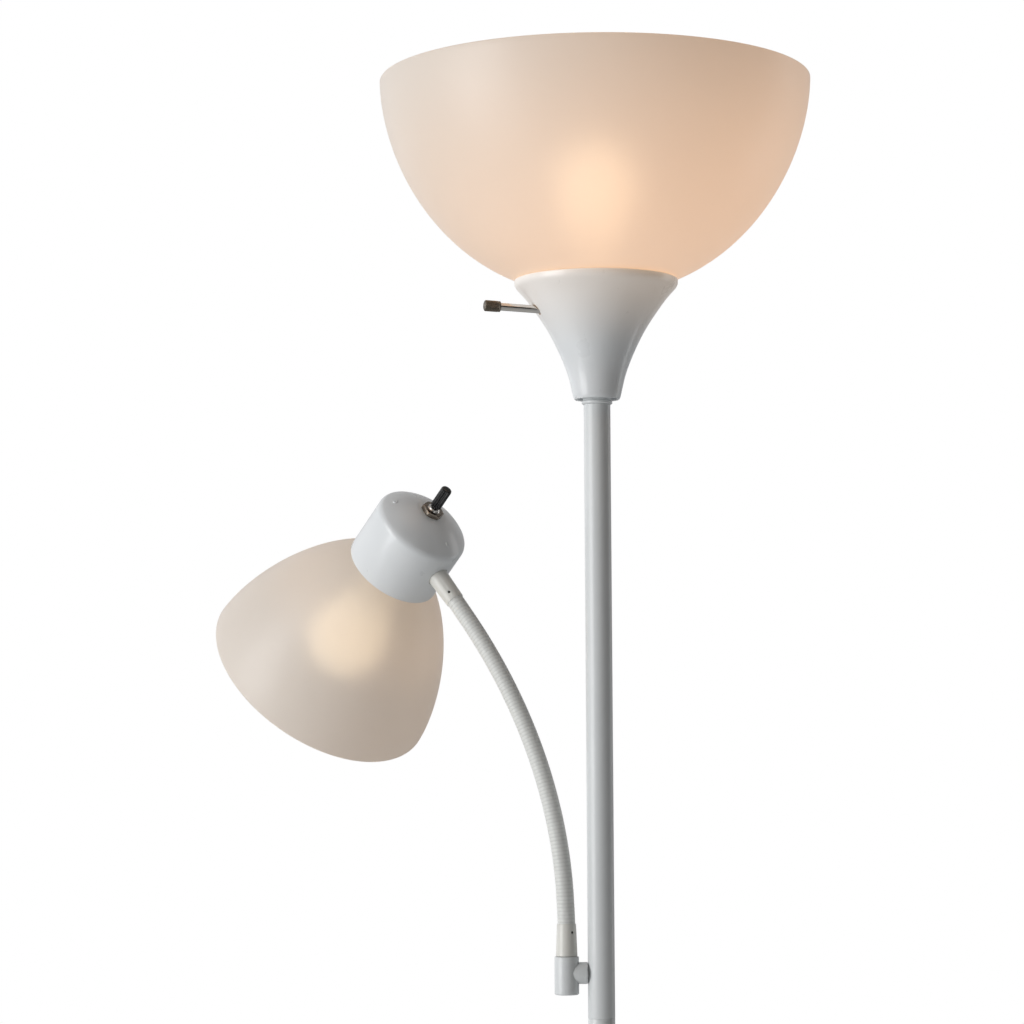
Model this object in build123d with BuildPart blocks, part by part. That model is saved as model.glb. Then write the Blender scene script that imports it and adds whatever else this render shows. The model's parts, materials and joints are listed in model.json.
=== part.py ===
from build123d import *
import os
from math import acos, asin, cos, radians, sin, sqrt

# Torchiere floor lamp with a reading light on a bendable arm.
# Millimetres, +Z up.  The origin is on the floor, on the axis of the pole.  The
# arm stands on the -X side of the pole and the front of the lamp faces -Y.

# ---- stand -------------------------------------------------------------
BASE_R = 127.0
BASE_RIM_TOP = 24.0
BASE_TOP = 27.5
PAD_TOP = 2.0
COVER_WALL = 1.4
COVER_EDGE = 8.0                     # radius of the cover's rolled edge
BOSS_R = 22.0                        # flat round the pole, on the cast weight
WEIGHT_R = 120.0
WEIGHT_TOP = BASE_RIM_TOP - 3
RECESS_TOP = 17.0                    # of the hollow under the weight, for the nut
GLAND_R = 4.5
GLAND_Z = 7.0
POLE_R = 11.0
POLE_WALL = 0.9
POLE_BORE_R = POLE_R - POLE_WALL
SECTION = 502.5                      # one of three equal pole sections
POLE_TOP = BASE_TOP + 3 * SECTION
INSERT_LENGTH = 14.0                 # threaded plugs pressed into the tubes
NIPPLE_R = 5.0                       # M10 hollow threaded tube, used throughout
NIPPLE_BORE_R = 3.5
THREAD_GAP = 0.05                    # from a screw to the part it is screwed into
RUN_FIT = 0.05                       # round a shaft that turns
LEAD_R = 2.0
LEAD_BEND = 5.0

# ---- light at the top --------------------------------------------------
RIM_Z = 1805.5
BOWL_R = 179.0                       # radius of the mouth
BOWL_DEPTH = 177.7
BOWL_SIDE = 1.808                    # exponents of the bowl's outline
BOWL_FLOOR = 2.165
SHADE_WALL = 2.0
FUNNEL_FOOT = 1539.0
FUNNEL_TOP = 1638.9
FUNNEL_WALL = 2.2
FUNNEL_SEAT = 1541.5
FUNNEL_FOOT_R = 19.0
FUNNEL_LIP_R = 67.8
HOLDER_FOOT = POLE_TOP + 31          # back of the upper lamp holder, in its cap
TOP_RING_R = 12.7
STEM_R = 3.2
STEM_RUN = 82.0                      # from the pole axis to the knurled knob
STEM_Z = 1610.6                      # where the stem's line meets the pole axis
STEM_TURN = 14.0                     # degrees towards the front
STEM_RISE = 2.5
KNOB_R = 4.6
KNOB_LENGTH = 13.7

# ---- lamp holder and bulb, the same in both lights ------------------------
HOLE_R = 20.8                        # hole in the floor of a shade
FLOOR_R = 24.0                       # flat round that hole
HOLDER_R = 17.5
HOLDER_BORE_R = 13.6
SHOULDER_R = 23.0
SHOULDER = 6.5
COLLAR = 18.0                        # threaded collar inside the shade
BORE_FLOOR = -8.0
BULB_R = 33.5
BULB_CENTRE = 93.0                   # from the shade's floor to the middle of the bulb

# ---- arm ---------------------------------------------------------------
TEE_X = -28.2
TEE_R = 10.0
TEE_FOOT = 1051.5
TEE_TOP = 1082.5
TEE_CAVITY_R = 8.0
TEE_ROOF = TEE_TOP - 6.5             # under the tee's top, where the nut sits
ARM_Z = 1069.0
ARM_SCREW_R = 4.0                    # hollow screw through spacer, tee and pole
ARM_HOLE_R = 4.1
SPACER_R = 8.85
BODY_GAP = 0.3                       # between faces of pieces that turn on each other
SLEEVE_BIG_R = 8.85
SLEEVE_SMALL_R = 7.85
LOWER_SLEEVE = 26.2
SLEEVE_GRIP = 12.0                   # depth of the neck's socket
SCREW_R = 1.1
SCREW_FROM_NECK = 6.8
SCREW_BEARING = 36.0                 # degrees from the front towards +X
NECK_R = 7.25
NECK_BORE_R = 4.0
NECK_LENGTH = 293.0
NECK_LINKS = 8
NECK_GAP = 2.4                       # between links, so that they can bend
NECK_TURN = 31.5                     # degrees from -X towards the back
HEAD_LEAN = 39.85                    # lean of the neck's far end from upright
LEAN_EASE = 0.27                     # how far the bend gathers near the pole

# ---- reading light -------------------------------------------------------
CAP_R = 41.4
CAP_WALL = 2.2
CAP_MOUTH = -30.8                    # along the cap's axis, from its centre
CAP_TOP = 36.6                       # flat seat of the switch nut
CAP_CROWN_R = 60.0                   # shallow dome of the closed end
CAP_CROWN_CENTRE = -22.0
CAP_SHOULDER_R = 8.0
CAP_AZIMUTH = -47.4                  # direction in which the closed end points
CAP_ELEVATION = 42.25
SLEEVE_SHOWN = 26.4
READING_R = 103.3
READING_DEPTH = 147.8
READING_SIDE = 1.56
READING_FLOOR = 1.75
READING_TIP = -15.3                  # where the outline would close on the axis
BUSHING_R = 5.6
BUSHING_TOP = 43.0
HEAD_KNOB_R = 4.7
HEAD_KNOB_TOP = 64.0
HEAD_NUT_HEIGHT = 4.2
SWITCH_FOOT = 8.0                    # of the switch inside the cap

DIAGONAL = cos(radians(45))


os.makedirs("parts", exist_ok=True)


def save(piece, name):
    """Label a finished piece and write it as its own STEP file."""
    piece.part.label = name
    export_step(piece.part, f"parts/{name}.step")


def side_of(plane):
    """Plane whose x is the radius and whose y runs along the given plane's axis."""
    return Plane(origin=plane.origin, x_dir=plane.x_dir, z_dir=-plane.y_dir)


def turned(plane, *outline):
    """Solid of revolution about a plane's axis, from (radius, height) points."""
    with BuildPart() as piece:
        with BuildSketch(side_of(plane)):
            with BuildLine():
                Polyline(*outline, close=True)
            make_face()
        revolve(axis=Axis(plane.origin, plane.z_dir))
    return piece


def ring(plane, outer_r, inner_r, low, high):
    """Plain tube, washer or ring about a plane's axis."""
    return turned(plane, (inner_r, low), (outer_r, low), (outer_r, high), (inner_r, high))


def hex_nut(plane, across_flats, bore_r, low, high):
    """Six-sided nut on a plane's axis."""
    with BuildPart() as nut:
        with BuildSketch(plane.offset(low)):
            RegularPolygon(across_flats / 2, 6, major_radius=False)
            Circle(bore_r, mode=Mode.SUBTRACT)
        extrude(amount=high - low)
    return nut


def outline_inset(points, wall):
    """Points moved square to their line by one wall, to the left of its travel."""
    moved = []
    for i, (x, y) in enumerate(points):
        before = points[max(i - 1, 0)]
        after = points[min(i + 1, len(points) - 1)]
        dx = after[0] - before[0]
        dy = after[1] - before[1]
        run = sqrt(dx * dx + dy * dy)
        moved.append((x - wall * dy / run, y + wall * dx / run))
    return moved


def bowl_outline(mouth_r, depth, side, floor, steps=7):
    """Side of a bowl as (radius, distance from the mouth), down to its flat floor."""
    end = (FLOOR_R / mouth_r) ** (floor / 2)
    last = sqrt(1 - end * end)
    points = []
    for i in range(steps + 1):
        rise = sin(i / steps * radians(90)) * last
        points.append((mouth_r * (1 - rise ** 2) ** (1 / floor), depth * rise ** (2 / side)))
    return points


def shade(plane, outline):
    """Bowl with a hole in its floor; the plane lies on the outside of that floor."""
    reach = outline[-1][1]
    outer = [(r, reach - down) for r, down in outline]
    inner = outline_inset(outer[:-1], -SHADE_WALL) + [(FLOOR_R, SHADE_WALL)]
    inner[0] = (outer[0][0] - SHADE_WALL, outer[0][1])
    with BuildPart() as piece:
        with BuildSketch(side_of(plane)):
            with BuildLine():
                Spline(*outer)
                Polyline(outer[-1], (HOLE_R, 0), (HOLE_R, SHADE_WALL), inner[-1])
                Spline(*inner[::-1])
                Line(inner[0], outer[0])
            make_face()
        revolve(axis=Axis(plane.origin, plane.z_dir))
    return piece


def holder(plane, back):
    """Moulded lamp holder, from its back to the collar that holds the shade."""
    collar_r = HOLE_R - 0.8
    return turned(plane, (0, back), (HOLDER_R, back), (HOLDER_R, -SHOULDER), (SHOULDER_R, -SHOULDER),
                  (SHOULDER_R, 0), (collar_r, 0), (collar_r, COLLAR), (HOLDER_BORE_R, COLLAR),
                  (HOLDER_BORE_R, BORE_FLOOR), (0, BORE_FLOOR))


def bulb_glass(plane):
    """Hollow pear-shaped envelope on the bulb's metal base."""
    neck_r = HOLDER_BORE_R - 1.0
    top = BULB_CENTRE + BULB_R
    wall = 1.0
    shoulder_r = 19.5
    with BuildPart() as glass:
        with BuildSketch(side_of(plane)):
            with BuildLine():
                Spline((neck_r, COLLAR), (shoulder_r, BULB_CENTRE - 47), (BULB_R, BULB_CENTRE),
                       tangents=[(0, 1), (0, 1)])
                ThreePointArc((BULB_R, BULB_CENTRE),
                              (BULB_R * cos(radians(45)), BULB_CENTRE + BULB_R * sin(radians(45))),
                              (0, top))
                Line((0, top), (0, top - wall))
                inner_r = BULB_R - wall
                ThreePointArc((0, top - wall),
                              (inner_r * cos(radians(45)), BULB_CENTRE + inner_r * sin(radians(45))),
                              (inner_r, BULB_CENTRE))
                Spline((inner_r, BULB_CENTRE), (shoulder_r - wall, BULB_CENTRE - 47),
                       (neck_r - wall, COLLAR), tangents=[(0, -1), (0, -1)])
                Line((neck_r - wall, COLLAR), (neck_r, COLLAR))
            make_face()
        revolve(axis=Axis(plane.origin, plane.z_dir))
    return glass


def bulb_base(plane):
    """Screw base of a bulb, with its centre contact."""
    thread_r = HOLDER_BORE_R - 0.6
    return turned(plane, (0, BORE_FLOOR + 0.9), (3.5, BORE_FLOOR + 0.9), (4.5, BORE_FLOOR + 1.8),
                  (10.0, BORE_FLOOR + 5), (thread_r, BORE_FLOOR + 7), (thread_r, COLLAR), (0, COLLAR))


def make_light(plane, prefix, bulb_prefix, ring_name):
    """Electrical and clamping pieces that both lights share."""
    shell_r = HOLDER_BORE_R - RUN_FIT
    save(ring(plane, shell_r, shell_r - 0.5, BORE_FLOOR + 0.5, COLLAR - 0.5), f"{prefix}_screw_shell")
    save(ring(plane, 4.0, 1.0, BORE_FLOOR, BORE_FLOOR + 0.8), f"{prefix}_contact")
    save(ring(plane, FLOOR_R - 0.4, HOLE_R - 0.75, SHADE_WALL, SHADE_WALL + 4.5), ring_name)
    save(bulb_glass(plane), f"{bulb_prefix}_glass")
    save(bulb_base(plane), f"{bulb_prefix}_base")


def sleeve(plane, length, neck_first):
    """Tapered sleeve with a socket for the neck at its small end."""
    small, big = (0, length) if neck_first else (length, 0)
    grip = SLEEVE_GRIP if neck_first else length - SLEEVE_GRIP
    return turned(plane, (NECK_BORE_R + 1.05, big), (SLEEVE_BIG_R, big),
                  (SLEEVE_SMALL_R, small), (NECK_BORE_R + 1.6, small),
                  (NECK_BORE_R + 1.6, grip), (NECK_BORE_R + 1.05, grip))


def drill_for_screw(piece, plane):
    """Piece with a radial hole for its set screw, square to the plane's axis."""
    with BuildPart() as drilled:
        add(piece.part)
        with BuildSketch(plane):
            Circle(SCREW_R + 0.05)
        extrude(amount=SLEEVE_BIG_R + 2, mode=Mode.SUBTRACT)
    return drilled


def neck_direction(lean):
    """Unit vector along the neck where it leans by so many degrees from upright."""
    flat = sin(radians(lean))
    return Vector(-flat * cos(radians(NECK_TURN)), flat * sin(radians(NECK_TURN)), cos(radians(lean)))


def lean_at(part_way):
    """Lean of the neck, in degrees, at a fraction of its length from the pole."""
    return HEAD_LEAN * ((1 + LEAN_EASE) * part_way - LEAN_EASE * part_way ** 2)


# ---- base ----------------------------------------------------------------
floor_plane = Plane.XY

save(ring(floor_plane, WEIGHT_R + 1, 0, 0, PAD_TOP), "felt_pad")

with BuildPart() as base_weight:
    with BuildSketch(Plane.XZ):
        with BuildLine():
            Polyline((0, PAD_TOP), (WEIGHT_R, PAD_TOP), (WEIGHT_R, WEIGHT_TOP - 5),
                     (WEIGHT_R - 5, WEIGHT_TOP), (BOSS_R, WEIGHT_TOP),
                     (BOSS_R, BASE_TOP - COVER_WALL), (0, BASE_TOP - COVER_WALL), close=True)
        make_face()
    revolve(axis=Axis.Z)
    with BuildSketch(Plane.XY.offset(PAD_TOP)):
        Circle(BOSS_R - 1)
    extrude(amount=RECESS_TOP - PAD_TOP, mode=Mode.SUBTRACT)
    with BuildSketch(Plane.XY.offset(PAD_TOP)):
        with Locations((0, WEIGHT_R / 2)):
            Rectangle(10, WEIGHT_R)
    extrude(amount=GLAND_Z + LEAD_R + 1.5 - PAD_TOP, mode=Mode.SUBTRACT)
    with BuildSketch(Plane.XY.offset(PAD_TOP)):
        Circle(NIPPLE_R + 0.2)
    extrude(amount=BASE_TOP, mode=Mode.SUBTRACT)
save(base_weight, "base_weight")

cover_centre_r = BASE_R - COVER_EDGE
cover_centre_z = BASE_RIM_TOP - COVER_EDGE
cover_reach = COVER_EDGE * DIAGONAL
cover_inner_reach = (COVER_EDGE - COVER_WALL) * DIAGONAL

with BuildPart() as base_cover:
    with BuildSketch(Plane.XZ):
        with BuildLine():
            Line((BASE_R, 1), (BASE_R, cover_centre_z))
            ThreePointArc((BASE_R, cover_centre_z),
                          (cover_centre_r + cover_reach, cover_centre_z + cover_reach),
                          (cover_centre_r, BASE_RIM_TOP))
            Polyline((cover_centre_r, BASE_RIM_TOP), (BOSS_R + 2, BASE_TOP),
                     (NIPPLE_R + 0.2, BASE_TOP), (NIPPLE_R + 0.2, BASE_TOP - COVER_WALL),
                     (BOSS_R + 2, BASE_TOP - COVER_WALL), (cover_centre_r, BASE_RIM_TOP - COVER_WALL))
            ThreePointArc((cover_centre_r, BASE_RIM_TOP - COVER_WALL),
                          (cover_centre_r + cover_inner_reach, cover_centre_z + cover_inner_reach),
                          (BASE_R - COVER_WALL, cover_centre_z))
            Polyline((BASE_R - COVER_WALL, cover_centre_z), (BASE_R - COVER_WALL, 1), (BASE_R, 1))
        make_face()
    revolve(axis=Axis.Z)
    with BuildSketch(Plane.XZ.offset(-BASE_R - 5)):
        with Locations((0, GLAND_Z)):
            Circle(GLAND_R + 0.1)
    extrude(amount=15, mode=Mode.SUBTRACT)
save(base_cover, "base_cover")

gland_plane = Plane(origin=(0, 0, GLAND_Z), x_dir=(1, 0, 0), z_dir=(0, 1, 0))
save(turned(gland_plane, (LEAD_R + 0.1, WEIGHT_R + 1), (GLAND_R, WEIGHT_R + 1), (GLAND_R, BASE_R),
            (GLAND_R + 1.5, BASE_R + 0.1), (GLAND_R + 1.5, BASE_R + 2), (GLAND_R, BASE_R + 3),
            (LEAD_R + 0.1, BASE_R + 3)), "cord_gland")

save(ring(floor_plane, 15, NIPPLE_R + 0.1, RECESS_TOP - 2, RECESS_TOP), "base_washer")
save(hex_nut(floor_plane, 17, NIPPLE_R + THREAD_GAP, RECESS_TOP - 6.5, RECESS_TOP - 2), "base_nut")
save(ring(floor_plane, NIPPLE_R, NIPPLE_BORE_R, RECESS_TOP - 7, BASE_TOP + 14), "base_nipple")
save(turned(floor_plane, (POLE_R + 0.1, BASE_TOP), (17, BASE_TOP), (17, BASE_TOP + 3),
            (15, BASE_TOP + 6.5), (13.5, BASE_TOP + 7.5), (POLE_R + 0.1, BASE_TOP + 7.5)), "base_collar")

# ---- pole ----------------------------------------------------------------
joints_z = [BASE_TOP + i * SECTION for i in range(4)]

save(ring(floor_plane, POLE_R, POLE_BORE_R, joints_z[0], joints_z[1]), "pole_lower")
save(ring(floor_plane, POLE_R, POLE_BORE_R, joints_z[1], joints_z[2]), "pole_middle")

with BuildPart() as pole_upper:
    with BuildSketch(Plane.XY.offset(joints_z[2])):
        Circle(POLE_R)
        Circle(POLE_BORE_R, mode=Mode.SUBTRACT)
    extrude(amount=SECTION)
    with BuildSketch(Plane.YZ):
        with Locations((0, ARM_Z)):
            Circle(ARM_HOLE_R)
    extrude(amount=-POLE_R - 1, mode=Mode.SUBTRACT)
save(pole_upper, "pole_upper")

# Four threaded inserts: the foot of each section, and the top of the pole.
with BuildPart() as pole_inserts:
    for low in (joints_z[0] + 1, joints_z[1] + 1, joints_z[2] + 1, joints_z[3] - 1 - INSERT_LENGTH):
        with BuildSketch(Plane.XY.offset(low)):
            Circle(POLE_BORE_R)
            Circle(NIPPLE_R + THREAD_GAP, mode=Mode.SUBTRACT)
        extrude(amount=INSERT_LENGTH)
save(pole_inserts, "pole_inserts")

# Two couplers: a plug fixed in the top of one section, and a stud for the next.
with BuildPart() as pole_couplers:
    for joint in joints_z[1:3]:
        with BuildSketch(Plane.XY.offset(joint - INSERT_LENGTH)):
            Circle(POLE_BORE_R)
            Circle(LEAD_R + 1, mode=Mode.SUBTRACT)
        extrude(amount=INSERT_LENGTH)
        with BuildSketch(Plane.XY.offset(joint)):
            Circle(NIPPLE_R)
            Circle(LEAD_R + 1, mode=Mode.SUBTRACT)
        extrude(amount=INSERT_LENGTH)
save(pole_couplers, "pole_couplers")

# Lead from the gland, along the channel in the weight and up the pole.
with BuildPart() as main_lead:
    with BuildLine():
        FilletPolyline((0, BASE_R - 1, GLAND_Z), (0, 0, GLAND_Z), (0, 0, POLE_TOP + 26), radius=LEAD_BEND)
    with BuildSketch(Plane(origin=(0, BASE_R - 1, GLAND_Z), x_dir=(1, 0, 0), z_dir=(0, -1, 0))):
        Circle(LEAD_R)
    sweep()
save(main_lead, "main_lead")

# ---- funnel and upper light -------------------------------------------------
save(turned(floor_plane, (NIPPLE_R + 0.1, POLE_TOP), (TOP_RING_R - 0.9, POLE_TOP),
            (TOP_RING_R, POLE_TOP + 0.8), (TOP_RING_R, POLE_TOP + 2.2), (TOP_RING_R - 0.8, POLE_TOP + 3),
            (TOP_RING_R - 0.8, FUNNEL_SEAT), (NIPPLE_R + 0.1, FUNNEL_SEAT)), "pole_top_ring")
save(ring(floor_plane, NIPPLE_R, NIPPLE_BORE_R, POLE_TOP - 12, POLE_TOP + 34), "top_nipple")

bowl = bowl_outline(BOWL_R, BOWL_DEPTH, BOWL_SIDE, BOWL_FLOOR)
top_plane = Plane(origin=(0, 0, RIM_Z - bowl[-1][1]))
save(shade(top_plane, bowl), "torchiere_shade")

stem_turn = radians(STEM_TURN)
stem_rise = radians(STEM_RISE)
stem_direction = (-cos(stem_turn) * cos(stem_rise), -sin(stem_turn) * cos(stem_rise), sin(stem_rise))
stem_plane = Plane(origin=(0, 0, STEM_Z), z_dir=stem_direction)

with BuildPart() as funnel:
    outer = [(FUNNEL_FOOT_R, FUNNEL_FOOT), (25.6, 1564.5), (38.9, 1594.0), (55.3, 1619.0), (66.6, 1632.5)]
    inner = outline_inset(outer, FUNNEL_WALL)
    lip_r = FUNNEL_LIP_R
    inner_lip_r = FUNNEL_LIP_R - 2.1
    with BuildSketch(Plane.XZ):
        with BuildLine():
            Spline(*outer)
            ThreePointArc(outer[-1], (lip_r, FUNNEL_TOP - 3.5), (lip_r - 0.6, FUNNEL_TOP))
            Polyline((lip_r - 0.6, FUNNEL_TOP), (inner_lip_r, FUNNEL_TOP),
                     (inner_lip_r, FUNNEL_TOP - 2), inner[-1])
            Spline(*inner[::-1])
            Line(inner[0], outer[0])
        make_face()
    revolve(axis=Axis.Z)
    with BuildSketch(Plane.XY.offset(FUNNEL_SEAT)):
        Circle(FUNNEL_FOOT_R)
        Circle(NIPPLE_R + 0.1, mode=Mode.SUBTRACT)
    extrude(amount=FUNNEL_WALL)
    with BuildSketch(stem_plane):
        Circle(STEM_R + 1.2)
    extrude(amount=STEM_RUN, mode=Mode.SUBTRACT)
save(funnel, "funnel")

save(hex_nut(floor_plane, 14, NIPPLE_R + THREAD_GAP, FUNNEL_SEAT + FUNNEL_WALL,
             FUNNEL_SEAT + FUNNEL_WALL + 4), "funnel_nut")

cap_r = HOLDER_R + 2
cap_foot = HOLDER_FOOT - 9
cap_floor = HOLDER_FOOT - 3
cap_top = HOLDER_FOOT + 13
save(turned(floor_plane, (NIPPLE_R + THREAD_GAP, cap_foot), (cap_r - 3, cap_foot), (cap_r, cap_foot + 4),
            (cap_r, cap_top), (HOLDER_R + 0.1, cap_top), (HOLDER_R + 0.1, cap_floor),
            (NIPPLE_R + THREAD_GAP, cap_floor)), "socket_cap")

with BuildPart() as socket_body:
    add(holder(top_plane, HOLDER_FOOT - top_plane.origin.Z).part)
    with BuildSketch(Plane.XY.offset(HOLDER_FOOT)):
        Circle(NIPPLE_R + 0.3)
    extrude(amount=6, mode=Mode.SUBTRACT)
    with BuildSketch(stem_plane):
        Circle(STEM_R + RUN_FIT)
    extrude(amount=SHOULDER_R + 5, mode=Mode.SUBTRACT)
save(socket_body, "socket_body")

make_light(top_plane, "socket", "torchiere_bulb", "torchiere_shade_ring")

# Rotary switch of the upper light: a long stem with a knurled knob.
save(ring(stem_plane, STEM_R, 0, 1, STEM_RUN), "switch_stem")
save(turned(stem_plane, (0, STEM_RUN), (KNOB_R - 0.5, STEM_RUN), (KNOB_R, STEM_RUN + 0.5),
            (KNOB_R, STEM_RUN + KNOB_LENGTH - 0.8), (KNOB_R - 0.8, STEM_RUN + KNOB_LENGTH),
            (0, STEM_RUN + KNOB_LENGTH)), "switch_knob")

# ---- arm bracket on the pole ---------------------------------------------
arm_plane = Plane(origin=(0, 0, ARM_Z), x_dir=(0, 1, 0), z_dir=(-1, 0, 0))
tee_plane = Plane(origin=(TEE_X, 0, 0))

with BuildPart() as arm_spacer:
    with BuildSketch(arm_plane.offset(POLE_R)):
        Circle(SPACER_R)
        Circle(ARM_HOLE_R, mode=Mode.SUBTRACT)
    extrude(amount=-TEE_X - POLE_R)
    with BuildSketch(Plane.XY.offset(ARM_Z - 20)):
        with Locations((TEE_X, 0)):
            Circle(TEE_R)
    extrude(amount=40, mode=Mode.SUBTRACT)
save(arm_spacer, "arm_spacer")

with BuildPart() as arm_tee:
    with BuildSketch(side_of(tee_plane)):
        with BuildLine():
            Polyline((TEE_CAVITY_R, TEE_FOOT), (TEE_R - 1.5, TEE_FOOT), (TEE_R, TEE_FOOT + 1.5),
                     (TEE_R, TEE_TOP), (NIPPLE_R + RUN_FIT, TEE_TOP), (NIPPLE_R + RUN_FIT, TEE_ROOF),
                     (TEE_CAVITY_R, TEE_ROOF), close=True)
        make_face()
    revolve(axis=Axis(tee_plane.origin, tee_plane.z_dir))
    with BuildSketch(arm_plane):
        Circle(ARM_HOLE_R)
    extrude(amount=-TEE_X - 1, mode=Mode.SUBTRACT)
save(arm_tee, "arm_tee")

save(ring(tee_plane, TEE_CAVITY_R, 0, TEE_FOOT, TEE_FOOT + 3), "tee_plug")
arm_screw_end = 4.2
save(ring(arm_plane, ARM_SCREW_R, 2.8, arm_screw_end, -TEE_X - TEE_CAVITY_R), "arm_nipple")
save(hex_nut(arm_plane, 11, ARM_SCREW_R + THREAD_GAP, arm_screw_end + 0.6, arm_screw_end + 3.4), "arm_nut")

# ---- swivel and lower sleeve ------------------------------------------------
sleeve_foot = TEE_TOP + BODY_GAP
sleeve_top = sleeve_foot + LOWER_SLEEVE
screw_bearing = radians(SCREW_BEARING)
screw_plane = Plane(origin=(TEE_X, 0, sleeve_top - SCREW_FROM_NECK), x_dir=(0, 0, 1),
                    z_dir=(sin(screw_bearing), -cos(screw_bearing), 0))

lower_plane = Plane(origin=(TEE_X, 0, sleeve_foot))
save(drill_for_screw(sleeve(lower_plane, LOWER_SLEEVE, False), screw_plane), "lower_sleeve")
save(ring(screw_plane, SCREW_R, 0, NECK_BORE_R + 1.7, SLEEVE_SMALL_R - 0.4), "lower_set_screw")
save(ring(tee_plane, NIPPLE_R, NIPPLE_BORE_R, TEE_TOP - 12, sleeve_foot + 13), "swivel_nipple")
save(hex_nut(tee_plane, 12.6, NIPPLE_R + THREAD_GAP, TEE_ROOF - BODY_GAP - 4,
             TEE_ROOF - BODY_GAP), "swivel_nut")


# ---- gooseneck ---------------------------------------------------------
link_length = (NECK_LENGTH - (NECK_LINKS + 1) * NECK_GAP) / NECK_LINKS
hinge = Vector(TEE_X, 0, sleeve_top + NECK_GAP / 2)
hinges = [hinge]
for i in range(NECK_LINKS):
    direction = neck_direction(lean_at((i + 0.5) / NECK_LINKS))
    link_plane = Plane(origin=hinge + direction * (NECK_GAP / 2), z_dir=direction)
    save(turned(link_plane, (NECK_BORE_R, 0), (NECK_R - 1, 0), (NECK_R, 1), (NECK_R, link_length - 1),
                (NECK_R - 1, link_length), (NECK_BORE_R, link_length)), f"gooseneck_link_{i + 1}")
    hinge = hinge + direction * (link_length + NECK_GAP)
    hinges.append(hinge)

# ---- reading light ---------------------------------------------------------
sleeve_direction = neck_direction(HEAD_LEAN)
neck_end = hinge + sleeve_direction * (NECK_GAP / 2)
cap_entry = neck_end + sleeve_direction * SLEEVE_SHOWN
level = cos(radians(CAP_ELEVATION))
cap_direction = Vector(level * cos(radians(CAP_AZIMUTH)), level * sin(radians(CAP_AZIMUTH)),
                       sin(radians(CAP_ELEVATION)))
across = sleeve_direction - cap_direction * sleeve_direction.dot(cap_direction)
cap_centre = cap_entry + across.normalized() * CAP_R
cap_plane = Plane(origin=cap_centre, x_dir=across, z_dir=cap_direction)
sleeve_plane = Plane(origin=neck_end, z_dir=sleeve_direction)

front = Vector(0, -1, 0)
screw_side = front - sleeve_direction * front.dot(sleeve_direction)
upper_screw_plane = Plane(origin=neck_end + sleeve_direction * SCREW_FROM_NECK,
                          x_dir=sleeve_direction, z_dir=screw_side)
save(drill_for_screw(sleeve(sleeve_plane, SLEEVE_SHOWN + 6, True), upper_screw_plane), "upper_sleeve")
save(ring(upper_screw_plane, SCREW_R, 0, NECK_BORE_R + 1.7, SLEEVE_SMALL_R - 0.4), "upper_set_screw")


def crown(radius, rim_r, seat_t):
    """Shallow arc of the cap's closed end, from its rim in to the flat seat."""
    rim_turn = asin(rim_r / radius)
    seat_turn = acos((seat_t - CAP_CROWN_CENTRE) / radius)
    turns = (rim_turn, (rim_turn + seat_turn) / 2, seat_turn)
    return ThreePointArc(*[(radius * sin(turn), CAP_CROWN_CENTRE + radius * cos(turn))
                           for turn in turns])


with BuildPart() as head_cap:
    with BuildSketch(side_of(cap_plane)) as cap_side:
        with BuildLine():
            outside = crown(CAP_CROWN_R, CAP_R, CAP_TOP)
            inside = crown(CAP_CROWN_R - CAP_WALL, CAP_R - CAP_WALL, CAP_TOP - CAP_WALL)
            Polyline(outside @ 1, (BUSHING_R + 0.1, CAP_TOP),
                     (BUSHING_R + 0.1, CAP_TOP - CAP_WALL), inside @ 1)
            Polyline(inside @ 0, (CAP_R - CAP_WALL, CAP_MOUTH), (CAP_R, CAP_MOUTH), outside @ 0)
        make_face()
        fillet(cap_side.vertices().sort_by_distance(outside @ 0)[0], CAP_SHOULDER_R)
        fillet(cap_side.vertices().sort_by_distance(inside @ 0)[0], CAP_SHOULDER_R - CAP_WALL)
    revolve(axis=Axis(cap_centre, cap_direction))
    with BuildSketch(sleeve_plane):
        Circle(SLEEVE_BIG_R + 0.1)
    extrude(amount=SLEEVE_SHOWN + 12, mode=Mode.SUBTRACT)
save(head_cap, "head_cap")

reading = bowl_outline(READING_R, READING_DEPTH, READING_SIDE, READING_FLOOR)
floor_t = READING_TIP - READING_DEPTH + reading[-1][1]
reading_plane = Plane(origin=cap_centre + cap_direction * floor_t, x_dir=across, z_dir=-cap_direction)
save(shade(reading_plane, reading), "reading_shade")

switch_top = CAP_TOP - CAP_WALL
save(holder(reading_plane, floor_t - SWITCH_FOOT), "head_socket_body")
make_light(reading_plane, "head", "reading_bulb", "reading_shade_ring")

save(turned(cap_plane, (0, SWITCH_FOOT), (15, SWITCH_FOOT), (15, switch_top - 3), (12, switch_top),
            (BUSHING_R, switch_top), (BUSHING_R, BUSHING_TOP - 1), (BUSHING_R - 1, BUSHING_TOP),
            (3 + RUN_FIT, BUSHING_TOP), (3 + RUN_FIT, switch_top - 6), (0, switch_top - 6)),
     "head_switch_body")
save(hex_nut(cap_plane, 17.4, BUSHING_R + THREAD_GAP, CAP_TOP, CAP_TOP + HEAD_NUT_HEIGHT),
     "switch_hex_nut")
save(turned(cap_plane, (0, switch_top - 5), (3, switch_top - 5), (3, BUSHING_TOP + 0.6),
            (HEAD_KNOB_R, BUSHING_TOP + 0.6), (HEAD_KNOB_R, HEAD_KNOB_TOP - 0.8),
            (HEAD_KNOB_R - 0.8, HEAD_KNOB_TOP), (0, HEAD_KNOB_TOP)), "head_switch_knob")
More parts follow.
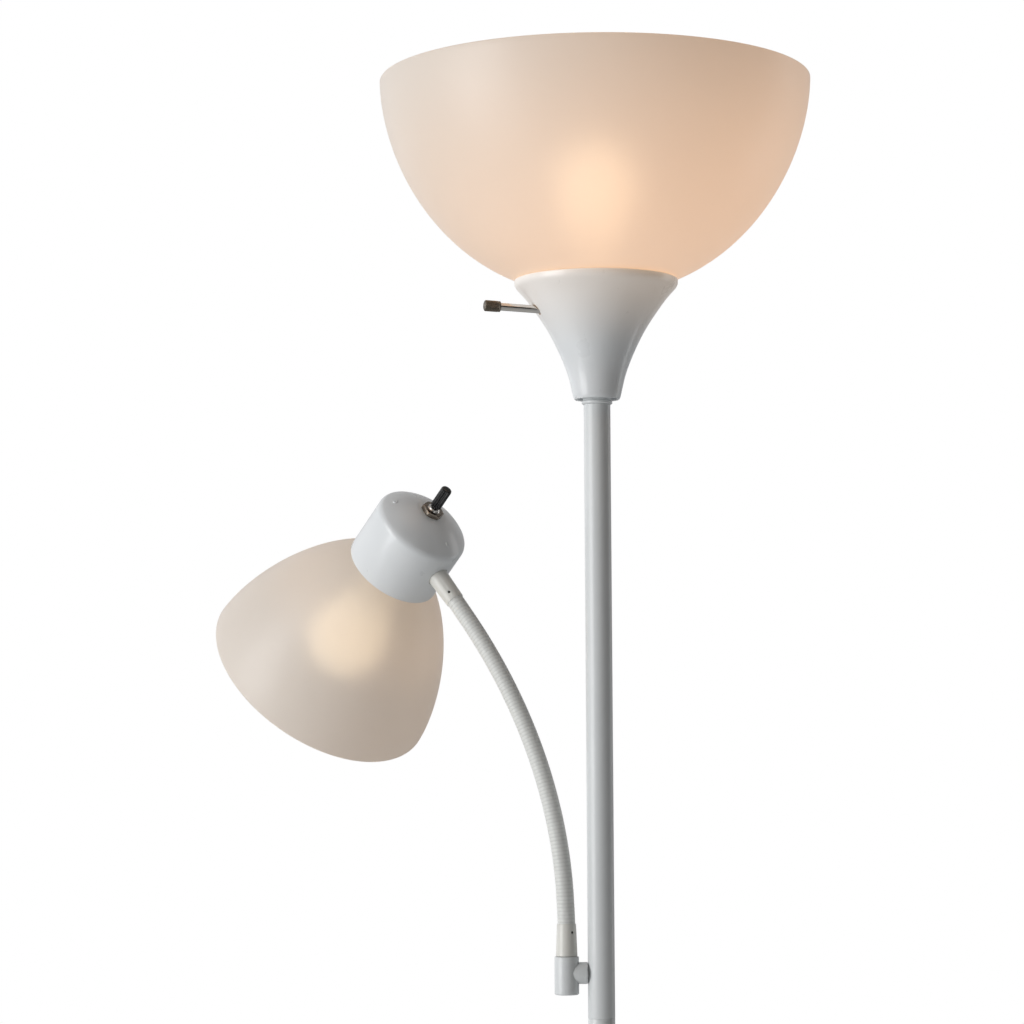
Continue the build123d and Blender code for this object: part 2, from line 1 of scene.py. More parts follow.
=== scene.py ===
"""Looks for a torchiere floor lamp with a reading light on a bendable arm.

Metres, +Z up.  The origin is on the floor, on the axis of the pole, and the
front of the lamp faces -Y.  Each sub-assembly is a class that takes its places
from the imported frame, shapes its pieces with mesh operators and dresses them.
"""

import json
import logging
from collections.abc import Callable, Sequence
from dataclasses import dataclass, field, replace
from enum import Enum
from math import asin, atan2, cos, degrees, hypot, pi, radians, sin, sqrt, tau

import bmesh
import bpy
from mathutils import Matrix, Vector


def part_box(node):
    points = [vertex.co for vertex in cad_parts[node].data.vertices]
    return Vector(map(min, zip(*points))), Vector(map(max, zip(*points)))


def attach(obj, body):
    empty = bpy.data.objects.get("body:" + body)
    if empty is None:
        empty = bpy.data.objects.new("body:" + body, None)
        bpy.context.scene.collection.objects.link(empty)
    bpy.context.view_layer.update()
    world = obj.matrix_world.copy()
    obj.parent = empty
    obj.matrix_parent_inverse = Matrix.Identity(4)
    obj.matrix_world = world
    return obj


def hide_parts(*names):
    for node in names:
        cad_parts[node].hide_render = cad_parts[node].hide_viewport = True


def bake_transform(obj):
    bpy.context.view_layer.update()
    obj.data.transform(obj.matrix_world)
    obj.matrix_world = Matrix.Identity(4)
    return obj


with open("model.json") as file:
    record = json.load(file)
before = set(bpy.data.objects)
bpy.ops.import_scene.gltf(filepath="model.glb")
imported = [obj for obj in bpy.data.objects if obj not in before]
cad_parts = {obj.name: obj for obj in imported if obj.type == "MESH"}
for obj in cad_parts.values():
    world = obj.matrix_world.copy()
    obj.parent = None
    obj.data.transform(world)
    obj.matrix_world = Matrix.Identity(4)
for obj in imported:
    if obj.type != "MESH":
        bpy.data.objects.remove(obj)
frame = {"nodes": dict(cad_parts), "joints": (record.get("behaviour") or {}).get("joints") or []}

log = logging.getLogger("lamp")

MM = 0.001

STEM_REACH = 60 * MM      # from the pole's axis to the upper switch's joint
ARM_HOLE = 4.1 * MM       # radius of the way for the arm's hollow screw
CAP_REACH = 50 * MM       # from the cap's centre to the reading switch's joint
BULB_HEIGHT = 93 * MM     # from a shade's floor line to its bulb's centre
READING_DEPTH = 147.8 * MM
READING_DROP = 15.3 * MM  # from the cap's centre down to where the reading shade ends
UPPER_SLEEVE = 32.4 * MM  # length of the sleeve that enters the cap
SCREW_BEARING = radians(36)

Point = tuple[float, float]
Colour = tuple[float, float, float]
Socket = bpy.types.NodeSocket


# ---- places in the frame -----------------------------------------------------

@dataclass(frozen=True)
class Spindle:
    """A line in space about which pieces are turned."""

    origin: Vector
    direction: Vector

    def at(self, run: float) -> Vector:
        """Point at a distance along the line."""
        return self.origin + self.direction * run

    def place(self) -> Matrix:
        """Matrix that lays a piece turned about Z onto this line."""
        turn = self.direction.to_track_quat("Z", "Y").to_matrix().to_4x4()
        return Matrix.Translation(self.origin) @ turn


def upright(x: float = 0.0, y: float = 0.0, z: float = 0.0) -> Spindle:
    """Vertical spindle through a point."""
    return Spindle(Vector((x, y, z)), Vector((0, 0, 1)))


def low(node: str) -> Vector:
    """Lowest corner of a CAD node."""
    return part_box(node)[0]


def high(node: str) -> Vector:
    """Highest corner of a CAD node."""
    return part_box(node)[1]


def arm_line() -> Spindle:
    """Line of the arm, from the pole's axis out to the tee."""
    middle = (low("arm_spacer") + high("arm_spacer")) / 2
    return Spindle(Vector((0, 0, middle.z)), Vector((-1, 0, 0)))


def joint_line(name: str, back: float = 0.0) -> Spindle:
    """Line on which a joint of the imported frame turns.

    Args:
        name: The joint's name.
        back: How far before the joint's own point the line starts.

    Returns:
        A spindle with its origin that far back along the axis.
    """
    found = next(joint for joint in frame["joints"] if joint["name"] == name)
    axis = Vector(found["axis"]).normalized()
    return Spindle(Vector(found["pos_m"]) - axis * back, axis)


# ---- outlines ----------------------------------------------------------------

def arc(centre: Point, radius: float, start: float, end: float, steps: int = 8) -> list[Point]:
    """Points along an arc.

    Args:
        centre: Middle of the arc.
        radius: Its radius.
        start: First bearing, in degrees from the +radius direction.
        end: Last bearing, in degrees.
        steps: Number of straight runs.

    Returns:
        The points, both ends included.
    """
    bearings = [radians(start + (end - start) * i / steps) for i in range(steps + 1)]
    return [(centre[0] + radius * cos(a), centre[1] + radius * sin(a)) for a in bearings]


def smooth_line(knots: Sequence[Point], runs: int = 8) -> list[Point]:
    """A smooth curve through a few knots.

    Args:
        knots: Points that the curve passes through.
        runs: Straight runs between two knots.

    Returns:
        The points along the curve.
    """
    points = []
    last = len(knots) - 1
    for i in range(last):
        here, there = Vector(knots[i]), Vector(knots[i + 1])
        before = Vector(knots[i - 1]) if i else here * 2 - there
        after = Vector(knots[i + 2]) if i + 2 <= last else there * 2 - here
        leave, arrive = (there - before) / 2, (after - here) / 2
        for step in range(runs):
            points.append(tuple(hermite(here, there, leave, arrive, step / runs)))
    return [*points, tuple(knots[-1])]


def hermite(start: Vector, end: Vector, leave: Vector, arrive: Vector, part: float) -> Vector:
    """Point part of the way along a cubic that has given ends and end tangents."""
    square, cube = part ** 2, part ** 3
    return (start * (2 * cube - 3 * square + 1) + leave * (cube - 2 * square + part)
            + end * (3 * square - 2 * cube) + arrive * (cube - square))


def inset(points: Sequence[Point], wall: float) -> list[Point]:
    """The same line moved square to itself by one wall, to the left of its travel."""
    moved = []
    for i, (x, y) in enumerate(points):
        before, after = points[max(i - 1, 0)], points[min(i + 1, len(points) - 1)]
        run = hypot(after[0] - before[0], after[1] - before[1])
        moved.append((x - wall * (after[1] - before[1]) / run, y + wall * (after[0] - before[0]) / run))
    return moved


def tube(outer: float, inner: float, foot: float, top: float) -> list[Point]:
    """Outline of a plain ring or tube."""
    return [(inner, foot), (outer, foot), (outer, top), (inner, top)]


def grooved(radius: float, depth: float, foot: float, top: float, count: int) -> list[Point]:
    """A side with evenly spaced round-bottomed grooves, from foot to top."""
    pitch = (top - foot) / count
    side = []
    for i in range(count):
        start = foot + i * pitch
        side += [(radius - depth, start), (radius - 0.25 * depth, start + 0.18 * pitch),
                 (radius, start + 0.4 * pitch), (radius, start + 0.6 * pitch),
                 (radius - 0.25 * depth, start + 0.82 * pitch)]
    return [*side, (radius - depth, top)]


# ---- shaping -----------------------------------------------------------------

class Line(Enum):
    """Whether an outline joins back to its first point."""

    OPEN = False
    LOOP = True


class Workpiece:
    """A mesh on the bench: shaped step by step, then finished as one piece."""

    def __init__(self, name: str) -> None:
        """Start with no metal at all."""
        self.name = name
        self.mesh = bmesh.new()

    @classmethod
    def turned(cls, name: str, outline: Sequence[Point], steps: int = 96,
               line: Line = Line.LOOP) -> "Workpiece":
        """Turn an outline about Z.

        Args:
            name: Name of the piece.
            outline: (radius, height) points.
            steps: Faces round the piece.
            line: Whether the outline closes on itself or ends on the axis.

        Returns:
            The turned workpiece.
        """
        piece = cls(name)
        mesh = piece.mesh
        corners = [mesh.verts.new((radius, 0, height)) for radius, height in outline]
        following = corners[1:] + (corners[:1] if line is Line.LOOP else [])
        edges = [mesh.edges.new(pair) for pair in zip(corners, following)]
        bmesh.ops.spin(mesh, geom=corners + edges, cent=(0, 0, 0), axis=(0, 0, 1), dvec=(0, 0, 0),
                       angle=tau, steps=steps, use_merge=True)
        bmesh.ops.remove_doubles(mesh, verts=mesh.verts[:], dist=1e-7)
        bmesh.ops.recalc_face_normals(mesh, faces=mesh.faces[:])
        return piece

    @classmethod
    def rod(cls, name: str, radius: float, foot: float, top: float, sides: int = 64) -> "Workpiece":
        """A capped prism or round rod on the Z axis."""
        piece = cls(name)
        bmesh.ops.create_cone(piece.mesh, cap_ends=True, segments=sides, radius1=radius,
                              radius2=radius, depth=top - foot,
                              matrix=Matrix.Translation((0, 0, (foot + top) / 2)))
        return piece

    def rounded(self, width: float, steps: int = 3, sharper: float = 35.0) -> "Workpiece":
        """Round every edge that is sharper than an angle in degrees."""
        edges = [edge for edge in self.mesh.edges
                 if len(edge.link_faces) == 2 and edge.calc_face_angle() > radians(sharper)]
        bmesh.ops.bevel(self.mesh, geom=edges, offset=width, offset_type="OFFSET",
                        affect="EDGES", segments=steps, profile=0.5, material=-1,
                        clamp_overlap=True)
        return self

    def laid(self, place: Matrix) -> "Workpiece":
        """Move the mesh itself to its place."""
        bmesh.ops.transform(self.mesh, matrix=place, verts=self.mesh.verts[:])
        return self

    def reshaped(self, move: Callable[[Vector], Vector]) -> "Workpiece":
        """Pass every point of the mesh through a function."""
        for vertex in self.mesh.verts:
            vertex.co = move(vertex.co)
        return self

    def fluted(self, count: int, depth: float, foot: float, top: float,
               over: float = 0.0) -> "Workpiece":
        """Press flutes along the side.

        Args:
            count: Flutes round the piece.
            depth: Depth of a flute.
            foot: Where they start along the axis.
            top: Where they end.
            over: Radius inside which nothing moves.

        Returns:
            The workpiece.
        """
        def press(point: Vector) -> Vector:
            radius = hypot(point.x, point.y)
            if radius <= over or not foot <= point.z <= top:
                return point
            share = (0.5 - 0.5 * cos(count * atan2(point.y, point.x))) ** 1.5
            scale = (radius - depth * share) / radius
            return Vector((point.x * scale, point.y * scale, point.z))
        return self.reshaped(press)

    def cut_by(self, *tools: "Workpiece") -> "Workpiece":
        """Cut other workpieces out of this one."""
        for tool in tools:
            body, cutter = self._bench_object(), tool._bench_object()
            cut = body.modifiers.new("cut", "BOOLEAN")
            cut.operation, cut.solver, cut.object = "DIFFERENCE", "EXACT", cutter
            graph = bpy.context.evaluated_depsgraph_get()
            result = bpy.data.meshes.new_from_object(body.evaluated_get(graph))
            self.mesh.clear()
            self.mesh.from_mesh(result)
            bpy.data.meshes.remove(result)
            for scrap in (body, cutter):
                bpy.data.meshes.remove(scrap.data)
        return self

    def joined(self, *others: "Workpiece") -> "Workpiece":
        """Add loose bodies to this piece, as one mesh."""
        for other in others:
            scrap = bpy.data.meshes.new("scrap")
            other.mesh.to_mesh(scrap)
            self.mesh.from_mesh(scrap)
            bpy.data.meshes.remove(scrap)
        return self

    def _bench_object(self) -> bpy.types.Object:
        """A short-lived object that holds a copy of the mesh."""
        data = bpy.data.meshes.new("bench")
        self.mesh.to_mesh(data)
        made = bpy.data.objects.new("bench", data)
        bpy.context.scene.collection.objects.link(made)
        return made

    def finished(self, finish: "Finish", crease: float = 35.0) -> bpy.types.Object:
        """Turn the workpiece into an object of the scene.

        Args:
            finish: What it is made of.
            crease: Angle in degrees over which an edge stays crisp.

        Returns:
            The new object, at the origin, with its place in its mesh.
        """
        data = bpy.data.meshes.new(self.name)
        self.mesh.to_mesh(data)
        self.mesh.free()
        data.shade_smooth()
        data.set_sharp_from_angle(angle=radians(crease))
        data.materials.append(finish.material())
        made = bpy.data.objects.new(self.name, data)
        bpy.context.scene.collection.objects.link(made)
        return made


# ---- finishes ----------------------------------------------------------------

class Recipe:
    """Node tree of one material, put together step by step."""

    def __init__(self, name: str) -> None:
        """Start from a plain surface shader."""
        self.made = bpy.data.materials.new(name)
        self.made.use_nodes = True
        self.tree = self.made.node_tree
        self.shader = next(n for n in self.tree.nodes if n.type == "BSDF_PRINCIPLED")

    def node(self, kind: str, **settings: object) -> bpy.types.Node:
        """Add a node and set its options."""
        made = self.tree.nodes.new(kind)
        for key, value in settings.items():
            setattr(made, key, value)
        return made

    def link(self, source: Socket, target: Socket) -> None:
        """Join two sockets."""
        self.tree.links.new(source, target)

    def fix(self, **values: object) -> None:
        """Set values on the shader's own sockets; underscores stand for spaces."""
        for key, value in values.items():
            self.shader.inputs[key.replace("_", " ")].default_value = value

    def drive(self, key: str, source: Socket) -> None:
        """Let a pattern drive one of the shader's sockets."""
        self.link(source, self.shader.inputs[key])

    def position(self, centre: Vector = Vector()) -> Socket:
        """Where a point of the piece lies, counted from a centre."""
        where = self.node("ShaderNodeTexCoord")
        mapping = self.node("ShaderNodeMapping")
        mapping.inputs["Location"].default_value = -centre
        self.link(where.outputs["Object"], mapping.inputs["Vector"])
        return mapping.outputs["Vector"]

    def noise(self, scale: float, detail: float = 2.0) -> Socket:
        """Soft random pattern, 0 to 1."""
        made = self.node("ShaderNodeTexNoise")
        made.inputs["Scale"].default_value = scale
        made.inputs["Detail"].default_value = detail
        self.link(self.position(), made.inputs["Vector"])
        return made.outputs["Fac"]

    def cells(self, scale: float) -> Socket:
        """Distance to the nearest of many scattered points."""
        made = self.node("ShaderNodeTexVoronoi")
        made.inputs["Scale"].default_value = scale
        self.link(self.position(), made.inputs["Vector"])
        return made.outputs["Distance"]

    def distance(self, centre: Vector) -> Socket:
        """Distance from a point of the frame, in metres."""
        made = self.node("ShaderNodeVectorMath", operation="LENGTH")
        self.link(self.position(centre), made.inputs[0])
        return made.outputs["Value"]

    def spread(self, source: Socket, start: float, end: float, low_value: float,
               high_value: float) -> Socket:
        """Map one range of a pattern onto another, smoothly."""
        made = self.node("ShaderNodeMapRange", interpolation_type="SMOOTHSTEP")
        for key, value in zip(("From Min", "From Max", "To Min", "To Max"),
                              (start, end, low_value, high_value)):
            made.inputs[key].default_value = value
        self.link(source, made.inputs["Value"])
        return made.outputs["Result"]

    def tint(self, share: Socket, first: Colour, second: Colour) -> Socket:
        """Colour that goes from first to second with a pattern."""
        made = self.node("ShaderNodeMix", data_type="RGBA")
        colours = [s for s in made.inputs if s.type == "RGBA"]
        colours[0].default_value = (*first, 1)
        colours[1].default_value = (*second, 1)
        self.link(share, made.inputs["Factor"])
        return next(s for s in made.outputs if s.type == "RGBA")

    def relief(self, source: Socket, depth: float, under: Socket | None = None) -> Socket:
        """Bump of a given depth in metres, on top of another if there is one."""
        made = self.node("ShaderNodeBump")
        made.inputs["Strength"].default_value = 1.0
        made.inputs["Distance"].default_value = depth
        self.link(source, made.inputs["Height"])
        if under is not None:
            self.link(under, made.inputs["Normal"])
        return made.outputs["Normal"]


def srgb(red: float, green: float, blue: float) -> Colour:
    """Linear colour from one given as 0 to 255 on a screen."""
    def linear(value: float) -> float:
        share = value / 255
        return share / 12.92 if share <= 0.04045 else ((share + 0.055) / 1.055) ** 2.4
    return linear(red), linear(green), linear(blue)


def shade_of(colour: Colour, factor: float) -> Colour:
    """A colour made lighter or darker."""
    return tuple(min(1.0, c * factor) for c in colour)


@dataclass(frozen=True)
class Finish:
    """What a surface is made of, as one material of procedural nodes."""

    slot: str
    colour: Colour
    roughness: float = 0.5
    label: str = ""

    def material(self) -> bpy.types.Material:
        """The material, made on first use."""
        name = self.label or f"{self.slot}_finish"
        found = bpy.data.materials.get(name)
        if found is None:
            recipe = Recipe(name)
            self.dress(recipe)
            found = recipe.made
        return found

    def dress(self, recipe: Recipe) -> None:
        """Add the nodes of this finish."""
        raise NotImplementedError

    def mottled(self, recipe: Recipe, scale: float, amount: float, detail: float = 3.0) -> None:
        """Let the colour wander a little about its own value."""
        pattern = recipe.spread(recipe.noise(scale, detail), 0.3, 0.7, 0.0, 1.0)
        recipe.drive("Base Color", recipe.tint(pattern, shade_of(self.colour, 1 - amount),
                                               shade_of(self.colour, 1 + amount)))

    def worn_gloss(self, recipe: Recipe, scale: float, amount: float) -> None:
        """Let the roughness wander a little about its own value."""
        pattern = recipe.noise(scale, 4.0)
        recipe.drive("Roughness", recipe.spread(pattern, 0.25, 0.75, self.roughness - amount,
                                                self.roughness + amount))


@dataclass(frozen=True)
class PowderCoat(Finish):
    """Baked paint on steel, with a faint orange peel."""

    peel: float = 620.0
    depth: float = 9e-6
    coat: float = 0.25

    def dress(self, recipe: Recipe) -> None:
        """Paint: faint mottle, orange peel and a thin clear skin."""
        self.mottled(recipe, 9.0, 0.012)
        self.worn_gloss(recipe, 30.0, 0.035)
        recipe.fix(Coat_Weight=self.coat, Coat_Roughness=0.16)
        recipe.drive("Normal", recipe.relief(recipe.noise(self.peel, 2.0), self.depth))


@dataclass(frozen=True)
class Moulding(Finish):
    """Injection-moulded plastic, with soft flow marks, a fine spark grain and, near a lamp, a painted
    glow.
    """

    grain: float = 1400.0
    depth: float = 2.5e-6
    coat: float = 0.35
    # centre of the painted glow; None gives no painted glow
    lamp: Vector | None = None
    painted_glow_strength: float = 0.22

    def dress(self, recipe: Recipe) -> None:
        """Plastic: flow marks in the colour, fine grain, and a painted glow as emission near a lamp."""
        # painted glow: warm emission that fades with distance from the lamp, in place of light through
        # the wall
        if self.lamp is not None:
            recipe.fix(Emission_Color=(1.0, 0.62, 0.30, 1))
            recipe.drive("Emission Strength", recipe.spread(recipe.distance(self.lamp), 0.088, 0.15,
                                                            self.painted_glow_strength, 0.0))
        self.mottled(recipe, 14.0, 0.010, 2.0)
        self.worn_gloss(recipe, 45.0, 0.03)
        recipe.fix(Coat_Weight=self.coat, Coat_Roughness=0.12, IOR=1.49)
        flow = recipe.relief(recipe.noise(26.0, 1.0), 6e-5)
        recipe.drive("Normal", recipe.relief(recipe.noise(self.grain, 2.0), self.depth, flow))


@dataclass(frozen=True)
class Sleeving(Finish):
    """Soft ribbed plastic over a bendable core, with painted shade darkening its grooves."""

    groove: str = "groove"

    def dress(self, recipe: Recipe) -> None:
        """Sleeving: painted shade in the grooves, ribs are rubbed a little smoother."""
        depth = recipe.node("ShaderNodeAttribute", attribute_name=self.groove).outputs["Fac"]
        # painted shade: the colour darkens with the depth of the groove
        recipe.drive("Base Color", recipe.tint(depth, self.colour, shade_of(self.colour, 0.86)))
        recipe.drive("Roughness", recipe.spread(depth, 0.0, 1.0, self.roughness,
                                                self.roughness + 0.25))
        recipe.drive("Normal", recipe.relief(recipe.noise(1100.0, 2.0), 8e-6))


@dataclass(frozen=True)
class FrostedShade(Finish):
    """Opal shade: a painted glow, as emission and a warmer colour round a point by the bulb, with some
    real light through.
    """

    # centre of the painted glow
    bulb: Vector = field(default_factory=Vector)
    glow: Colour = (1.0, 0.68, 0.46)
    strength: float = 0.34
    rest: float = 0.12
    near: float = 0.08
    far: float = 0.25
    passing: float = 0.35

    def dress(self, recipe: Recipe) -> None:
        """Opal: painted glow as a warmer colour and emission near the glow's centre, fine satin grain,
        soft light through.
        """
        # painted glow: colour and emission fade with distance from the glow's centre
        away = recipe.distance(self.bulb)
        painted_glow_share = recipe.spread(away, self.near, self.far, 1.0, 0.0)
        painted_warm_body = tuple(c * (0.6 + 0.4 * g) for c, g in zip(self.colour, self.glow))
        recipe.drive("Base Color", recipe.tint(painted_glow_share, self.colour, painted_warm_body))
        recipe.fix(Transmission_Weight=self.passing, IOR=1.45, Emission_Color=(*self.glow, 1))
        recipe.drive("Emission Strength", recipe.spread(away, self.near, self.far,
                                                        self.strength, self.rest))
        self.worn_gloss(recipe, 20.0, 0.03)
        recipe.drive("Normal", recipe.relief(recipe.noise(1600.0, 2.0), 3e-6))


@dataclass(frozen=True)
class OpalBulb(Finish):
    """White bulb glass, lit from inside, dimmer at its neck."""

    bright: Vector = field(default_factory=Vector)
    glow: Colour = (1.0, 0.8, 0.55)
    strength: float = 4.0

    def dress(self, recipe: Recipe) -> None:
        """Lit glass: glow by distance from the middle of the bulb."""
        away = recipe.distance(self.bright)
        recipe.drive("Base Color", recipe.tint(recipe.noise(60.0), self.colour,
                                               shade_of(self.colour, 0.96)))
        recipe.fix(Emission_Color=(*self.glow, 1), Coat_Weight=0.5, Coat_Roughness=0.05)
        recipe.drive("Emission Strength", recipe.spread(away, 0.03, 0.075, self.strength,
                                                        0.35 * self.strength))
        self.worn_gloss(recipe, 80.0, 0.02)


@dataclass(frozen=True)
class Plated(Finish):
    """Plated or bare metal, with fine scratches and a slight tarnish."""

    tarnish: float = 0.12
    scratch: float = 1.2e-6

    def dress(self, recipe: Recipe) -> None:
        """Metal: tarnish in the colour, scratches in the gloss and the relief."""
        self.mottled(recipe, 160.0, self.tarnish, 5.0)
        recipe.fix(Metallic=1.0)
        scratches = recipe.noise(900.0, 4.0)
        recipe.drive("Roughness", recipe.spread(scratches, 0.3, 0.7, 0.7 * self.roughness,
                                                1.4 * self.roughness))
        recipe.drive("Normal", recipe.relief(scratches, self.scratch))


@dataclass(frozen=True)
class Resin(Finish):
    """Dark moulded resin, rubber or cable skin."""

    depth: float = 8e-6
    specks: float = 500.0

    def dress(self, recipe: Recipe) -> None:
        """Resin: faint specks, uneven gloss and a fine mould texture."""
        self.mottled(recipe, self.specks, 0.12, 4.0)
        self.worn_gloss(recipe, 120.0, 0.06)
        recipe.drive("Normal", recipe.relief(recipe.noise(900.0, 3.0), self.depth))


@dataclass(frozen=True)
class Felt(Finish):
    """Pressed wool felt."""

    def dress(self, recipe: Recipe) -> None:
        """Felt: tangled fibres and a soft sheen."""
        fibres = recipe.noise(1500.0, 6.0)
        recipe.drive("Base Color", recipe.tint(fibres, shade_of(self.colour, 0.7),
                                               shade_of(self.colour, 1.3)))
        recipe.fix(Sheen_Weight=0.6, Roughness=self.roughness)
        recipe.drive("Normal", recipe.relief(fibres, 2e-4))


@dataclass(frozen=True)
class Cast(Finish):
    """Cast concrete, with pores."""

    def dress(self, recipe: Recipe) -> None:
        """Concrete: cloudy colour, sand and small pits."""
        self.mottled(recipe, 55.0, 0.14, 6.0)
        pits = recipe.spread(recipe.cells(260.0), 0.1, 0.35, 0.0, 1.0)
        sand = recipe.relief(recipe.noise(1200.0, 4.0), 6e-5)
        recipe.fix(Roughness=self.roughness)
        recipe.drive("Normal", recipe.relief(pits, 2e-4, sand))


PAINT = PowderCoat("white_paint", srgb(222, 225, 226), 0.34)
PLASTIC = Moulding("white_plastic", srgb(226, 229, 231), 0.30)
WARM_PAINT = PowderCoat("white_paint", srgb(226, 225, 219), 0.36, "sleeve_paint")
NECK = Sleeving("neck_sleeving", srgb(226, 227, 224), 0.42)
NICKEL = Plated("nickel", srgb(150, 140, 129), 0.2, tarnish=0.08)
CHROME = Plated("nickel", srgb(216, 212, 207), 0.07, "chrome_finish", tarnish=0.02, scratch=4e-7)
KNURLED = Plated("nickel", srgb(120, 112, 102), 0.3, "knurled_finish", tarnish=0.1)
ZINC = Plated("zinc", srgb(176, 178, 182), 0.34)
BLACKENED = Plated("zinc", srgb(62, 60, 58), 0.38, "black_zinc_finish")
BRASS = Plated("brass", srgb(214, 178, 104), 0.28)
BULB_CAP = Plated("bulb_cap", srgb(190, 190, 192), 0.26)
PHENOLIC = Resin("phenolic", srgb(38, 34, 32), 0.36)
BLACK = Resin("black_plastic", srgb(17, 17, 18), 0.24, specks=300.0)
RUBBER = Resin("gland_rubber", srgb(40, 40, 41), 0.62)
LEAD = Resin("lead", srgb(214, 214, 212), 0.5)
PAD = Felt("felt", srgb(62, 64, 68), 0.95)
WEIGHT = Cast("concrete", srgb(150, 147, 141), 0.9)
HIDDEN_FINISHES = {finish.slot: finish for finish in (
    PAINT, PLASTIC, NECK, NICKEL, ZINC, BRASS, BULB_CAP, PHENOLIC, BLACK, RUBBER, LEAD, PAD, WEIGHT)}


# ---- sub-assemblies ----------------------------------------------------------

class Assembly:
    """Common work of every sub-assembly: keep its pieces and report them."""

    def __init__(self) -> None:
        """Start with no pieces."""
        self.pieces: list[bpy.types.Object] = []

    def add(self, work: Workpiece, finish: Finish, body: str, *nodes: str,
            crease: float = 35.0) -> bpy.types.Object:
        """Finish a workpiece and mount it on a body in place of CAD nodes.

        Args:
            work: The shaped workpiece.
            finish: Its finish, which names the record's material slot.
            body: Body that it moves with.
            nodes: CAD nodes that it stands for.
            crease: Angle in degrees over which an edge stays crisp.

        Returns:
            The mounted object.
        """
        piece = work.finished(finish, crease)
        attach(piece, body)
        if nodes:
            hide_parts(*nodes)
        self.pieces.append(piece)
        return piece

    def report(self) -> None:
        """Log each piece and its number of faces."""
        for piece in self.pieces:
            log.info("%s: %s, %d faces", type(self).__name__, piece.name, len(piece.data.polygons))


@dataclass
class Base(Assembly):
    """Round weighted foot: pressed cover, collar and cord gland."""

    edge: float = 8 * MM
    wall: float = 1.4 * MM
    boss: float = 24 * MM
    hole: float = 5.2 * MM
    rim_drop: float = 3.5 * MM
    gland_hole: float = 4.6 * MM
    lead_bore: float = 2.1 * MM
    body: str = "stand"

    def __post_init__(self) -> None:
        """Read the places from the frame."""
        super().__init__()
        self.radius = high("base_cover").x
        self.foot = low("base_cover").z
        self.top = high("base_cover").z

    def build(self) -> None:
        """Make the visible pieces of the foot."""
        self.cover()
        self.collar()
        self.gland()

    def cover(self) -> None:
        """Pressed steel cover with a rolled edge and a gentle cone."""
        rim = self.top - self.rim_drop
        corner = (self.radius - self.edge, rim - self.edge)
        outside = [(self.radius, self.foot), *arc(corner, self.edge, 0, 90, 12),
                   (self.boss, self.top), (self.hole, self.top)]
        inside = [(self.hole, self.top - self.wall), (self.boss, self.top - self.wall),
                  *arc(corner, self.edge - self.wall, 90, 0, 10), (self.radius - self.wall, self.foot)]
        work = Workpiece.turned("base_cover_pressing", outside + inside, 192).rounded(0.35 * MM, 3, 60)
        bore = Workpiece.rod("bore", self.gland_hole, 0, 20 * MM)
        way = self.gland_way(12 * MM)
        self.add(work.cut_by(bore.laid(way.place())), PAINT, self.body, "base_cover")

    def gland_way(self, back: float) -> Spindle:
        """Line of the cord gland, from a distance inside its outer face."""
        foot, face = low("cord_gland"), high("cord_gland")
        return Spindle(Vector((0, face.y - back, (face.z + foot.z) / 2)), Vector((0, 1, 0)))

    def collar(self) -> None:
        """Stepped collar that hides the joint of foot and pole."""
        foot, outer, bore = low("base_collar").z, high("base_collar").x, high("pole_lower").x + 0.1 * MM
        outline = [(bore, foot), (outer, foot), (outer, foot + 3 * MM),
                   *arc((outer, foot + 6.8 * MM), 3.4 * MM, 265, 185, 8), (bore, foot + 7.5 * MM)]
        self.add(Workpiece.turned("base_collar_turned", outline, 128).rounded(0.3 * MM, 3),
                 PAINT, self.body, "base_collar")

    def gland(self) -> None:
        """Moulded bush that the cord leaves by."""
        foot, face = low("cord_gland"), high("cord_gland")
        flange, length, bore = (face.z - foot.z) / 2, face.y - foot.y, self.lead_bore
        outline = [(bore, 0), (flange - 1.5 * MM, 0), (flange - 1.5 * MM, length - 3 * MM),
                   (flange, length - 2.9 * MM), (flange, length - 1.4 * MM),
                   *arc((flange - 1.4 * MM, length - 1.4 * MM), 1.4 * MM, 0, 80, 5), (bore, length)]
        work = Workpiece.turned("cord_gland_bush", outline, 64).rounded(0.2 * MM, 2, 50)
        self.add(work.laid(self.gland_way(length).place()), RUBBER, self.body, "cord_gland")


@dataclass
class Pole(Assembly):
    """Three painted tubes, one on the other, and the ring that crowns them."""

    wall: float = 0.9 * MM
    corner: float = 0.35 * MM
    ring_grooves: int = 4
    body: str = "stand"

    def __post_init__(self) -> None:
        """Read the places from the frame."""
        super().__init__()
        self.radius = high("pole_lower").x

    def build(self) -> None:
        """Make the three tubes and the crowning ring."""
        for node in ("pole_lower", "pole_middle", "pole_upper"):
            self.section(node)
        self.crown()

    def section(self, node: str) -> None:
        """One tube with softly rounded ends."""
        outline = tube(self.radius, self.radius - self.wall, low(node).z, high(node).z)
        work = Workpiece.turned(f"{node}_tube", outline, 96).rounded(self.corner, 3)
        if node == "pole_upper":
            work.cut_by(self.arm_hole())
        self.add(work, PAINT, self.body, node)

    def arm_hole(self) -> Workpiece:
        """Tool for the hole that the arm's hollow screw passes through."""
        return Workpiece.rod("hole", ARM_HOLE, 2 * MM, 20 * MM).laid(arm_line().place())

    def crown(self) -> None:
        """Stepped ring with fine grooves, under the funnel."""
        foot, top, outer = low("pole_top_ring").z, high("pole_top_ring").z, high("pole_top_ring").x
        bore, step = 5.1 * MM, foot + 3 * MM
        upper = grooved(outer - 0.8 * MM, 0.3 * MM, step + 0.3 * MM, top - 0.2 * MM, self.ring_grooves)
        outline = [(bore, foot), (outer - 0.9 * MM, foot), (outer, foot + 0.8 * MM),
                   (outer, foot + 2.2 * MM), (outer - 0.8 * MM, step), *upper,
                   (outer - 1.3 * MM, top), (bore, top)]
        self.add(Workpiece.turned("pole_crown", outline, 128), PAINT, self.body, "pole_top_ring")


